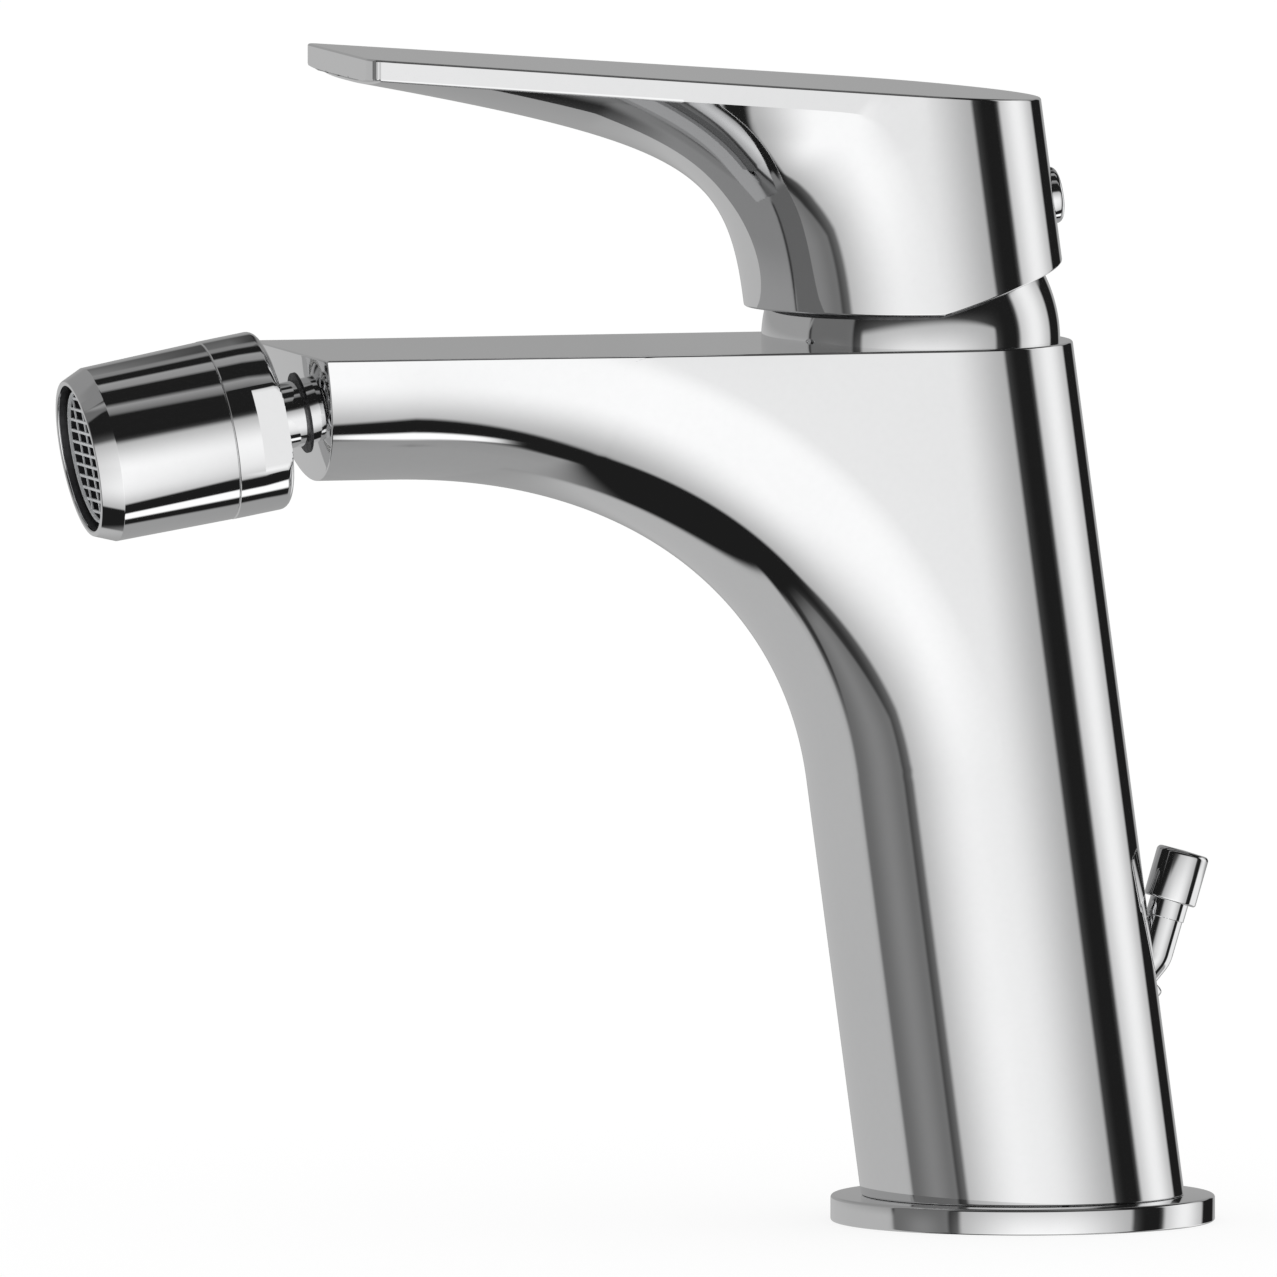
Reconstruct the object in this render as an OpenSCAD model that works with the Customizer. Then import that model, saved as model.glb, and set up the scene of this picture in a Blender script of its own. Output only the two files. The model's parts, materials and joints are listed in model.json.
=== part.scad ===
// Single-lever bidet mixer with a ball-joint nozzle and a pop-up waste rod.
// The deck is the plane z = 0, the spout points along -X and the column leans forward.

/* [Base] */
// Outer diameter of the base ring
ring_d = 52; // [50:0.5:60]
// Height of the base ring
ring_h = 3.5; // [3:0.1:6]
// Chamfer on the upper edge of the base ring
ring_edge = 0.6; // [0.2:0.1:1]
// Width of the rubber gasket under the ring
gasket_w = 3.6; // [2:0.2:4]
// Height of the rubber gasket
gasket_h = 2; // [1:0.1:2.2]
// Height of the locating lip that stands up inside the column
lip_h = 2; // [1:0.1:4]

/* [Body] */
// Diameter of the leaning column and width of the spout
column_d = 43.4; // [42.6:0.2:46]
// Forward lean of the column in degrees
lean = 7.7; // [5:0.1:9]
// Height of the flat top of the body above the deck
body_h = 119.5; // [117:0.5:130]
// Depth of the spout at the nose
spout_depth = 17.6; // [17:0.1:20]
// Distance from the centre of the base to the top edge of the nose
spout_reach = 102; // [98:0.5:115]
// Tilt of the nose face and of the nozzle in degrees
nose_tilt = 10.5; // [8:0.5:13]
// Inner radius of the arch next to the spout
arch_r_spout = 66; // [62:0.5:68]
// Inner radius of the arch at its middle
arch_r_middle = 53; // [50:0.5:55]
// Inner radius of the arch next to the column
arch_r_column = 40; // [38:0.5:42]
// Angle that the first arc of the arch turns through
arch_turn_spout = 24; // [20:1:28]
// Angle that the second arc of the arch turns through
arch_turn_middle = 28; // [24:1:32]
// Wall of the hollow column
column_wall = 3.3; // [2.5:0.1:4]
// Thickness of the solid floor between the hollow column and the cartridge
floor_h = 24; // [22:0.5:26]

/* [Water ways] */
// Diameter of the two threaded hose inlets
inlet_d = 9; // [8:0.1:9.6]
// Depth of the hose inlets
inlet_depth = 12; // [10:0.5:14]
// Distance of each hose inlet from the middle plane
inlet_y = 9; // [8.5:0.1:10]
// Diameter of the two threaded holes for the fixing studs
stud_d = 5; // [4:0.1:5.4]
// Depth of the stud holes
stud_depth = 12; // [8:0.5:14]
// Distance of the stud holes in front of the column axis
stud_x = 9; // [8.6:0.1:10]
// Distance of each stud hole from the middle plane
stud_y = 9.5; // [9:0.1:10]
// Diameter of the cold and hot ports
port_d = 5; // [4:0.1:5.4]
// Distance of the cold and hot ports from the middle plane
port_y = 7.4; // [7.2:0.1:7.6]
// Diameter of the mixed water way to the nozzle
outlet_d = 7; // [6:0.1:7.2]
// Distance of the mixed water port in front of the cartridge axis
outlet_x = 7.5; // [7:0.1:8]

/* [Cartridge] */
// Wall of the body around the cartridge
cartridge_wall = 4.3; // [4.2:0.05:4.7]
// Thickness of the cartridge base plate
base_plate_h = 6.5; // [6:0.1:6.7]
// Thickness of the fixed ceramic disc
fixed_disc_h = 4.5; // [4:0.1:4.6]
// Thickness of the moving ceramic disc
moving_disc_h = 4; // [3.6:0.1:4.1]
// Diameter of the moving ceramic disc
moving_disc_d = 22.4; // [21.8:0.1:23]
// Diameter of the rubber cord of the port seals
seal_cord = 1.4; // [1:0.1:1.6]
// Step from the cartridge housing in to its neck
neck_step = 2.9; // [2.8:0.05:3.1]
// Diameter of the spindle carrier where it turns in the housing
carrier_d = 19.1; // [18.6:0.1:19.6]
// Wall of the body around the thread of the cartridge nut
nut_wall = 2.6; // [2.4:0.05:2.8]
// Step from the nut thread in to the collar that carries the dome cover
collar_step = 2.6; // [2.4:0.05:2.8]
// Diameter of the pin that the stem tilts on
stem_pin_d = 4; // [3.6:0.1:4.4]
// Width of the square lever stem
stem_w = 8; // [7.6:0.1:8.2]
// Length of the stem above its pin
stem_h = 24; // [22:0.5:26]
// Length of the stem arm below its pin
stem_arm = 8.5; // [8.3:0.1:8.6]
// Diameter of the ball at the lower end of the stem
stem_ball_d = 5.2; // [5:0.1:5.4]
// Full tilt of the lever in degrees
lever_tilt = 22; // [20:1:23]

/* [Lever] */
// Step from the column surface in to the dome cover
dome_step = 1.5; // [1.3:0.1:1.7]
// Wall of the dome cover
dome_wall = 1.3; // [1:0.1:1.4]
// Height of the opening in the dome cover above the lever pivot
dome_h = 12.5; // [12:0.1:13]
// Gap between the dome cover and the hollow of the lever hub
dome_gap = 0.7; // [0.5:0.1:0.9]
// Gap between the flat top of the body and the rim of the lever hub
lever_gap = 4.7; // [4.4:0.1:5.5]
// Slope of the rear of the hub rim in degrees
rim_slope = 16.5; // [15:0.5:20]
// Height of the lever top above the body, at the cartridge axis
lever_h = 34.2; // [33:0.2:38]
// Rise of the lever top towards the tip in degrees
lever_rise = 4.4; // [2:0.1:6]
// Distance from the centre of the base to the lever tip
lever_reach = 95.4; // [90:0.2:105]
// Width of the lever at its tip
lever_tip_w = 37.5; // [34:0.5:42]
// Height of the straight band along the sides of the lever
lever_band = 2.9; // [2.2:0.1:4]
// Depth of the rounded belly at the lever tip
tip_belly = 0.8; // [0.5:0.1:1.2]
// Slope of the underside at the lever tip in degrees
belly_slope = 11; // [9:0.5:13]
// How far the underside follows its two end tangents, from 0 to 1
belly_pull = 0.89; // [0.8:0.01:0.93]
// Height of the index plug above the lever pivot
index_h = 16.5; // [16:0.1:17.5]
// Diameter of the index plug
index_d = 7.7; // [7:0.1:9]
// Height that the index plug stands out of the hub
index_out = 1.2; // [0.6:0.1:1.6]
// Diameter of the grub screw
grub_d = 5; // [4:0.1:5.2]

/* [Nozzle] */
// Height of the nozzle axis above the underside of the spout, at the nose
nozzle_up = 9.2; // [8.8:0.1:9.6]
// Diameter of the ball
ball_d = 16; // [15.6:0.1:16.2]
// Distance of the ball centre from the nose face
ball_out = 9.9; // [9.7:0.1:10.4]
// Diameter of the nipple neck
nipple_neck_d = 9; // [8.6:0.1:9.2]
// Diameter of the nipple flange
nipple_flange_d = 11.5; // [11:0.1:12]
// Diameter of the nipple thread
nipple_thread_d = 10; // [9.6:0.1:10.4]
// Bore of the nipple
nipple_bore = 5.6; // [5:0.1:5.8]
// Thickness of the liner between the ball and the collar
liner_wall = 1.1; // [0.9:0.1:1.2]
// Diameter of the nozzle collar
nozzle_d = 24.4; // [24.2:0.1:25]
// Length of the nozzle collar
collar_l = 7.8; // [7.6:0.1:8.2]
// Distance across the wrench flats of the collar
flats_w = 21.6; // [21.2:0.1:22.4]
// Length of the wrench flats
flats_l = 4.2; // [3.6:0.1:5]
// Length of the whole nozzle
nozzle_l = 26.9; // [26:0.1:29]
// Diameter of the outlet rim
outlet_rim_d = 21.3; // [20.8:0.1:22]
// Length of the chamfer at the outlet
rim_chamfer = 2.9; // [2:0.1:3.4]
// Depth of the outlet insert behind the rim
insert_recess = 2.1; // [1.6:0.1:3]
// Diameter of the holes in the outlet insert
jet_d = 1.7; // [1.4:0.1:1.8]

/* [Waste rod] */
// Diameter of the pop-up rod
rod_d = 5; // [4.6:0.1:5.2]
// Distance of the rod kink behind the column
kink_gap = 0.9; // [0.7:0.1:1.2]
// Height of the rod kink above the deck
kink_z = 35.5; // [33:0.5:38]
// Slope of the rod inside the column, in degrees from the vertical
rod_slope = 40; // [38:0.5:42]
// Slope of the knob, in degrees from the vertical
knob_slope = 16.5; // [14:0.5:17]
// Bend radius on the axis of the rod
rod_bend = 6; // [5:0.5:7]
// Travel of the rod when the knob is lifted
rod_travel = 12; // [8:0.5:12.5]
// Diameter of the knob
knob_d = 7.2; // [6.8:0.1:9]
// Length of the knob
knob_l = 7; // [6:0.2:9]
// Distance of the knob centre above the kink
knob_up = 11.2; // [10.5:0.1:13]
// Outer diameter of the bush that guides the rod
bush_d = 8; // [7.8:0.1:8.4]
// Length of the bush
bush_l = 10; // [9:0.2:10.6]

/* [Hidden] */
$fn = 96;

// Clearances
fit = 0.05;
slip = 0.3;
seat_gap = 0.25;
face_gap = 0.05;
over = 1;

// Base ring
lip_wall = 1.4;
groove_land = 1.4;
groove_r = ring_d / 2 - groove_land;

// Column
column_r = column_d / 2;

// Cartridge stack, measured up from its seat
cartridge_r = column_r - cartridge_wall;
bore_r = cartridge_r + seat_gap;
nut_r = column_r - nut_wall;
neck_r = cartridge_r - neck_step;
disc_floor = base_plate_h;
moving_floor = disc_floor + fixed_disc_h + face_gap;
coupler_floor = moving_floor + moving_disc_h;
coupler_h = 4.4;
shoulder_h = 18;
housing_wall = 1.7;
housing_cavity_r = cartridge_r - housing_wall;
neck_wall = 2.2;
neck_cavity_r = neck_r - neck_wall;
flange_floor = coupler_floor + coupler_h + slip;
flange_h = 2.4;
neck_ceiling = flange_floor + flange_h + face_gap;
neck_top_wall = 1.9;
housing_h = neck_ceiling + neck_top_wall;
fixed_disc_r = housing_cavity_r - slip;
coupler_r = 8;
port_x = 1;
seal_land = 0.5;
carrier_top = 5.4;
carrier_slot_l = 11.8;
carrier_slot_w = stem_w + 2 * slip;
stem_rest = lever_tilt / 2;
disc_offset = stem_arm * sin(stem_rest);
eye_r = 5.2;
arm_d = 4.8;
ball_lift = 3.65;
seat_depth = coupler_floor + ball_lift + stem_arm * cos(stem_rest);

// Column and arch, with distances along the leaning axis from the top of the base ring
cavity_r = column_r - column_wall;
pivot_s = (body_h - ring_h) / cos(lean);
pivot_x = -pivot_s * sin(lean);
seat_s = pivot_s - seat_depth;
cavity_s = seat_s - floor_h;
spout_z = body_h - spout_depth;
arch_r = [arch_r_spout, arch_r_middle, arch_r_column];
arch_a = [0, arch_turn_spout, arch_turn_spout + arch_turn_middle, 90 - lean];
function arc_dx(i) = arch_r[i] * (sin(arch_a[i + 1]) - sin(arch_a[i]));
function arc_dz(i) = arch_r[i] * (cos(arch_a[i]) - cos(arch_a[i + 1]));
arch_foot_z = spout_z - arc_dz(0) - arc_dz(1) - arc_dz(2);
function column_axis_x(z) = -(z - ring_h) * tan(lean);
function column_front_x(z) = column_axis_x(z) - column_r / cos(lean);
arch_start_x = column_front_x(arch_foot_z) - arc_dx(0) - arc_dx(1) - arc_dx(2);
function arc_start(i) = i == 0
    ? [arch_start_x, spout_z]
    : arc_start(i - 1) + [arc_dx(i - 1), -arc_dz(i - 1)];
function arc_centre(i) = arc_start(i) - arch_r[i] * [sin(arch_a[i]), cos(arch_a[i])];

// Nose and nozzle axis
nose_z = spout_z + nozzle_up;
nose_x = -spout_reach + (body_h - nose_z) * tan(nose_tilt);
thread_l = 11;
thread_runout = 1;
channel_run = 24;
channel_x = arch_start_x + channel_run;
channel_z = nose_z;
chamber_depth = 17.5;
riser_d = outlet_d - 1;

// Nut collar, dome cover and lever hub, measured from the lever pivot
dome_r = column_r - dome_step;
collar_r = nut_r - collar_step;
collar_h = 6;
nut_top = -3;
o_ring_h = 4;
o_ring_cord = 1.5;
sleeve_h = 5.4;
hollow_r = dome_r + dome_gap;
boss_r = 8;
boss_floor = 12;
index_shank_d = grub_d + 2 * seat_gap;
index_seat = 1.2;

// Sections of the body and the lever: points on each half of a section, and points round the back
belly_steps = 8;
back_steps = 12;
merge_gap = 0.2;
axis_lean = [-sin(lean), 0, cos(lean)];

// One half-point of a section, whose underside is a round arc of a depth and half width: how far in
// from the lowest point, and how far to the side
function section_point(depth, half, end, j) =
    let (arc = 2 * atan(depth / half), r = half / sin(arc), short = end < depth + merge_gap,
        full = end < depth ? acos(1 - end / r) : arc,
        turn = full * j / (short ? belly_steps + 1 : belly_steps))
    abs(j) > belly_steps
        ? [end, (short ? r * sin(full) : half) * sign(j)]
        : [r * (1 - cos(turn)), r * sin(turn)];

// Section that starts at a point of the middle plane and runs in at an angle from the vertical
function section_loop(start, angle, depth, half, end) = [
    for (j = [-belly_steps - 1:belly_steps + 1])
        let (q = section_point(depth, half, end, j))
            [start[0] + q[0] * sin(angle), q[1], start[1] + q[0] * cos(angle)]];

// Distance along a section to the plane of the column axis
function run_to_axis(start, angle) =
    -(start[0] * cos(lean) + (start[1] - ring_h) * sin(lean)) / sin(angle + lean);

// Moves a point along the column axis to the height z0 + k x
function along_axis_to(p, z0, k) =
    p + (z0 + k * p[0] - p[2]) / (cos(lean) + k * sin(lean)) * axis_lean;

// Point of the round back of the column or the hub, in the plane of the deck
function back_point(i) = let (turn = 90 - 180 * i / back_steps)
    [column_r * cos(turn) / cos(lean), column_r * sin(turn), ring_h];

// Back points at a share of the way from the top plane to the foot plane, each [z0, k]
function back_row(share, top, foot) = [
    for (i = [1:back_steps - 1])
        (1 - share) * along_axis_to(back_point(i), top[0], top[1])
            + share * along_axis_to(back_point(i), foot[0], foot[1])];

// Body sections: the angle is 0 at the spout and 90 - lean at the column
function arch_arc(angle) = angle < arch_a[1] ? 0 : angle < arch_a[2] ? 1 : 2;
function arch_point(angle) = let (i = arch_arc(angle))
    arc_centre(i) + arch_r[i] * [sin(angle), cos(angle)];
function arch_to_top(angle) = (body_h - arch_point(angle)[1]) / cos(angle);
function arch_end(angle) = min(arch_to_top(angle), run_to_axis(arch_point(angle), angle));
function arch_corner(low, high, n) = n == 0
    ? (low + high) / 2
    : run_to_axis(arch_point((low + high) / 2), (low + high) / 2) > arch_to_top((low + high) / 2)
        ? arch_corner((low + high) / 2, high, n - 1)
        : arch_corner(low, (low + high) / 2, n - 1);
arch_steps = 10;
halvings = 40;
corner_angle = arch_corner(1, 80, halvings);
arch_angles = concat(
    [for (i = [0:arch_steps]) corner_angle * i / arch_steps],
    [for (i = [1:arch_steps]) corner_angle + (90 - lean - corner_angle) * i / arch_steps]);
function arch_loop(angle) =
    section_loop(arch_point(angle), angle, column_r, column_r, arch_end(angle));
function to_nose(p) = [-spout_reach + (body_h - p[2]) * tan(nose_tilt), p[1], p[2]];

// Lever outline in the middle plane
rim_z = body_h + lever_gap;
hub_lead = 1.3;
function lever_top_z(x) = body_h + lever_h - (x - pivot_x) * tan(lever_rise);
tip_point = [-lever_reach, lever_top_z(-lever_reach) - lever_band - tip_belly];
hub_point = [column_front_x(rim_z + hub_lead), rim_z + hub_lead];
lean_k = tan(lean);
belly_k = tan(belly_slope);
corner_x = (-(tip_point[1] - ring_h) * lean_k - belly_k * lean_k * tip_point[0]
    - column_r / cos(lean)) / (1 - belly_k * lean_k);
corner_point = [corner_x, tip_point[1] - belly_k * (corner_x - tip_point[0])];
hub_handle = hub_point + belly_pull * (corner_point - hub_point);
tip_handle = tip_point + belly_pull * (corner_point - tip_point);

// Underside curve of the lever: t = 0 at the hub and t = 1 at the tip
function belly_point(t) = pow(1 - t, 3) * hub_point + 3 * t * pow(1 - t, 2) * hub_handle
    + 3 * t * t * (1 - t) * tip_handle + pow(t, 3) * tip_point;
function belly_tangent(t) = pow(1 - t, 2) * (hub_handle - hub_point)
    + 2 * t * (1 - t) * (tip_handle - hub_handle) + t * t * (tip_point - tip_handle);
function belly_angle(t) = atan2(belly_tangent(t)[1], -belly_tangent(t)[0]);
function lever_angle(t) = (belly_angle(t) - belly_slope) * (90 - lean) / (90 - lean - belly_slope);
function lever_to_top(t, drop) = (lever_top_z(belly_point(t)[0]) - drop - belly_point(t)[1])
    / (cos(lever_angle(t)) + tan(lever_rise) * sin(lever_angle(t)));
function lever_to_axis(t) = run_to_axis(belly_point(t), lever_angle(t));
belly_blend = 6;
function belly_depth(t) = pow(pow(column_r, -belly_blend)
    + pow(lever_to_top(t, lever_band), -belly_blend), -1 / belly_blend);
function taper(t) = max(0, (belly_point(t)[0] - corner_x) / (tip_point[0] - corner_x));
function half_width(t) = column_r - (column_r - lever_tip_w / 2) * taper(t);
function lever_corner(low, high, n) = n == 0
    ? (low + high) / 2
    : lever_to_axis((low + high) / 2) > lever_to_top((low + high) / 2, 0)
        ? lever_corner(low, (low + high) / 2, n - 1)
        : lever_corner((low + high) / 2, high, n - 1);
blade_steps = 14;
hub_steps = 10;
corner_t = lever_corner(0.02, 0.9, halvings);
lever_stations = concat(
    [for (i = [0:blade_steps]) 1 - (1 - corner_t) * i / blade_steps],
    [for (i = [1:hub_steps]) corner_t * (1 - i / hub_steps)]);
function lever_loop(t) = section_loop(belly_point(t), lever_angle(t), belly_depth(t), half_width(t),
    min(lever_to_top(t, 0), lever_to_axis(t)));

// Nozzle, measured from the nose face along the nozzle axis
ball_r = ball_d / 2;
liner_in = ball_r + 2 * fit;
liner_out = liner_in + liner_wall;
pocket_r = liner_out + 2 * fit;
collar_back = 5.5;
collar_start = ball_out - collar_back;
collar_end = collar_start + collar_l;
collar_neck_l = 3.4;
nozzle_r = nozzle_d / 2;
nozzle_end = collar_start + nozzle_l;
collar_mouth_r = 6.7;
neck_bore_r = pocket_r + slip;
collar_neck_wall = 1;
neck_outer_r = neck_bore_r + collar_neck_wall;
shell_bore_r = 10;
shell_lip_r = 9.5;
flange_l = 1.6;
groove_l = 1.4;
groove_start = 2 * groove_l;
nipple_o_cord = 1.2;
ball_face = 6.2;
liner_back = 5.3;
liner_front = 1.2;
seal_back = 3.6;
seal_l = 4;
seal_bore_r = 5.3;
gasket_ring_w = 3;
outlet_gasket_h = 1.5;
screen_h = 0.5;
insert_r = shell_bore_r - slip;
insert_front = nozzle_end - insert_recess;
seal_start = ball_out + seal_back;
gasket_start = seal_start + seal_l;
screen_start = gasket_start + outlet_gasket_h;
insert_start = screen_start + screen_h;
insert_wall = 1.1;
insert_face = 2.2;
jet_rings = [[0, 1], [2.9, 6], [5.7, 12]];
screen_bars = 4;

// Waste rod
rod_r = rod_d / 2;
kink_x = column_axis_x(kink_z) + column_r + kink_gap;
bush_start = 3;
bush_hole_r = bush_d / 2 + fit;
rod_foot_z = 4;
rod_spare = 0.8;
kink_cut = rod_bend * tan((rod_slope - knob_slope) / 2);
foot_cut = rod_bend * tan(rod_slope / 2);
rod_run = bush_start + bush_l + rod_travel + rod_spare + foot_cut;
step_r = rod_r + 0.15;
step_l = 2.4;
step_drop = step_l + fit;
knob_bore_depth = 4;

// Frames
module lean_frame() {
    translate([0, 0, ring_h]) rotate([0, -lean, 0]) children();
}

module pivot_frame() {
    lean_frame() translate([0, 0, pivot_s]) children();
}

module seat_frame() {
    lean_frame() translate([0, 0, seat_s]) children();
}

module stem_frame() {
    pivot_frame() rotate([0, -stem_rest, 0]) children();
}

module disc_frame() {
    seat_frame() translate([disc_offset, 0, 0]) children();
}

module nozzle_frame() {
    translate([nose_x, 0, nose_z]) rotate([0, -90 - nose_tilt, 0]) children();
}

module waste_frame() {
    translate([kink_x, 0, kink_z]) rotate([0, rod_slope, 0]) children();
}

module tube(outer_r, inner_r, h) {
    difference() {
        cylinder(r = outer_r, h = h);
        translate([0, 0, -over]) cylinder(r = inner_r, h = h + 2 * over);
    }
}

module o_ring(middle_r, cord_d) {
    rotate_extrude() translate([middle_r, 0]) circle(d = cord_d);
}

// Closed solid of fanned sections. The first part of the sections ends on a flat top, and from the
// corner section on they end on the plane of the column axis, where the round back joins them.
module fan_solid(loops, corner, back) {
    size = len(loops[0]);
    last = len(loops) - 1;
    points = concat([for (loop = loops) each loop], [for (row = back) each row]);
    function front(i, k) = i * size + k;
    function behind(i, k) = k == 0
        ? front(i, size - 1)
        : k == back_steps
            ? front(i, 0)
            : (last + 1) * size + (i - corner) * (back_steps - 1) + k - 1;
    sides = [
        for (i = [0:last - 1]) for (k = [0:size - 2])
            each [[front(i, k), front(i + 1, k), front(i, k + 1)],
                [front(i, k + 1), front(i + 1, k), front(i + 1, k + 1)]]];
    top = [
        for (i = [0:corner - 1])
            each [[front(i, size - 1), front(i + 1, size - 1), front(i, 0)],
                [front(i, 0), front(i + 1, size - 1), front(i + 1, 0)]]];
    round_back = [
        for (i = [corner:last - 1]) for (k = [0:back_steps - 1])
            each [[behind(i, k), behind(i + 1, k), behind(i, k + 1)],
                [behind(i, k + 1), behind(i + 1, k), behind(i + 1, k + 1)]]];
    back_top = [for (k = [0:back_steps]) behind(corner, k)];
    nose = [for (k = [0:size - 1]) front(0, k)];
    foot = [for (k = [size - 1:-1:0]) front(last, k)];
    back_foot = [for (k = [back_steps:-1:0]) behind(last, k)];
    polyhedron(points, concat(sides, top, round_back, [back_top, nose, foot, back_foot]));
}

module body_outside() {
    arch_loops = [for (angle = arch_angles) arch_loop(angle)];
    column_top = arch_loops[len(arch_loops) - 1];
    corner = arch_steps + 1;
    loops = concat(
        [[for (p = arch_loops[0]) to_nose(p)]],
        arch_loops,
        [[for (p = column_top) along_axis_to(p, ring_h, 0)]]);
    last = len(loops) - 1;
    function height(i) = loops[i][0][2];
    back = [
        for (i = [corner:last])
            back_row((height(corner) - height(i)) / (height(corner) - height(last)),
                [body_h, 0], [ring_h, 0])];
    fan_solid(loops, corner, back);
}

module water_ways() {
    lean_frame() for (side = [-1, 1]) {
        translate([port_x, side * inlet_y, cavity_s - over])
            cylinder(d = inlet_d, h = inlet_depth + over);
        translate([port_x, side * port_y, cavity_s + inlet_depth - port_d])
            cylinder(d = port_d, h = floor_h);
        translate([-stud_x, side * stud_y, cavity_s - over])
            cylinder(d = stud_d, h = stud_depth + over);
    }
    seat_frame() translate([-outlet_x, 0, -chamber_depth]) cylinder(d = outlet_d, h = chamber_depth + over);
    chamber_s = seat_s - chamber_depth;
    chamber = [
        -chamber_s * sin(lean) - outlet_x * cos(lean),
        ring_h + chamber_s * cos(lean) - outlet_x * sin(lean)];
    riser = [channel_x, channel_z] - chamber;
    translate([chamber[0], 0, chamber[1]]) rotate([0, atan2(riser[0], riser[1]), 0])
        cylinder(d = riser_d, h = norm(riser));
    translate([nose_x, 0, channel_z]) rotate([0, 90, 0])
        translate([0, 0, thread_l / 2]) cylinder(d = outlet_d, h = channel_x - nose_x - thread_l / 2);
    nozzle_frame() translate([0, 0, -thread_l - thread_runout])
        cylinder(r = nipple_thread_d / 2 + fit, h = 2 * thread_l);
}

module body_casting() {
    color("silver") difference() {
        body_outside();
        lean_frame() translate([0, 0, -column_d]) cylinder(r = cavity_r, h = cavity_s + column_d);
        seat_frame() cylinder(r = bore_r, h = body_h);
        seat_frame() translate([0, 0, shoulder_h]) cylinder(r = nut_r + seat_gap, h = body_h);
        water_ways();
        waste_frame() translate([0, 0, -bush_l - column_wall]) cylinder(r = bush_hole_r, h = 2 * bush_l);
    }
}

module base_ring() {
    lip_r = cavity_r - 2 * slip;
    ring_bore_r = lip_r - lip_wall;
    ring_r = ring_d / 2;
    color("silver") difference() {
        rotate_extrude() polygon([
            [ring_bore_r, 0], [ring_r, 0], [ring_r, ring_h - ring_edge], [ring_r - ring_edge, ring_h],
            [lip_r, ring_h], [lip_r, ring_h + lip_h], [ring_bore_r, ring_h + lip_h]]);
        translate([0, 0, -over]) tube(groove_r, groove_r - gasket_w, gasket_h + over);
    }
}

module base_gasket() {
    color("dimgray") tube(groove_r - fit, groove_r - gasket_w + fit, gasket_h);
}

module dome_cover() {
    color("silver") difference() {
        intersection() {
            pivot_frame() sphere(r = dome_r);
            translate([pivot_x - column_d, -column_d, body_h]) cube(2 * column_d);
        }
        pivot_frame() translate([0, 0, dome_h]) cylinder(r = dome_r, h = dome_r);
        pivot_frame() translate([0, 0, -dome_r]) cylinder(r = collar_r + fit, h = dome_r + sleeve_h);
        pivot_frame() intersection() {
            sphere(r = dome_r - dome_wall);
            translate([0, 0, sleeve_h]) cylinder(r = dome_r, h = dome_r);
        }
    }
}

module dome_o_ring() {
    color("dimgray") pivot_frame() translate([0, 0, o_ring_h])
        o_ring(collar_r - o_ring_cord / 2, o_ring_cord - 2 * fit);
}

module cartridge_nut() {
    shoulder = shoulder_h - seat_depth;
    spanner_w = 4;
    spanner_h = 1.2;
    color("goldenrod") pivot_frame() difference() {
        union() {
            translate([0, 0, shoulder]) cylinder(r = nut_r, h = nut_top - shoulder);
            translate([0, 0, nut_top]) cylinder(r = collar_r, h = collar_h - nut_top);
        }
        translate([0, 0, shoulder - over])
            cylinder(r = neck_r + seat_gap, h = collar_h - shoulder + 2 * over);
        translate([0, 0, o_ring_h - o_ring_cord / 2])
            tube(collar_r + over, collar_r - o_ring_cord, o_ring_cord);
        for (turn = [0:3]) rotate([0, 0, 45 + 90 * turn])
            translate([0, -spanner_w / 2, collar_h - spanner_h])
                cube([column_r, spanner_w, spanner_h + over]);
    }
}

module cartridge_housing() {
    color("whitesmoke") seat_frame() difference() {
        union() {
            translate([0, 0, disc_floor]) cylinder(r = cartridge_r, h = shoulder_h - disc_floor);
            translate([0, 0, shoulder_h]) cylinder(r = neck_r, h = housing_h - shoulder_h);
        }
        translate([0, 0, disc_floor - over])
            cylinder(r = housing_cavity_r, h = coupler_floor - disc_floor + over + face_gap);
        cylinder(r = neck_cavity_r, h = neck_ceiling);
        cylinder(r = carrier_d / 2 + fit, h = housing_h + over);
    }
}

// Places its children at the cold, hot and mixed water ports
module at_ports() {
    for (side = [-1, 1]) translate([port_x, side * port_y, 0]) children(0);
    translate([-outlet_x, 0, 0]) children(1);
}

module port_holes(h) {
    translate([0, 0, -over]) at_ports() {
        cylinder(d = port_d, h = h + 2 * over);
        cylinder(d = outlet_d, h = h + 2 * over);
    }
}

module cartridge_base() {
    color("whitesmoke") seat_frame() difference() {
        cylinder(r = cartridge_r, h = base_plate_h);
        port_holes(base_plate_h);
        translate([0, 0, -over]) at_ports() {
            tube(port_d / 2 + seal_land + seal_cord, port_d / 2 + seal_land, seal_cord + over);
            tube(outlet_d / 2 + seal_land + seal_cord, outlet_d / 2 + seal_land, seal_cord + over);
        }
    }
}

module port_seals() {
    color("dimgray") seat_frame() translate([0, 0, seal_cord / 2]) at_ports() {
        o_ring(port_d / 2 + seal_land + seal_cord / 2, seal_cord - 2 * fit);
        o_ring(outlet_d / 2 + seal_land + seal_cord / 2, seal_cord - 2 * fit);
    }
}

module fixed_ceramic_disc() {
    color("white") seat_frame() translate([0, 0, disc_floor]) difference() {
        cylinder(r = fixed_disc_r, h = fixed_disc_h);
        port_holes(fixed_disc_h);
    }
}

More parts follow.
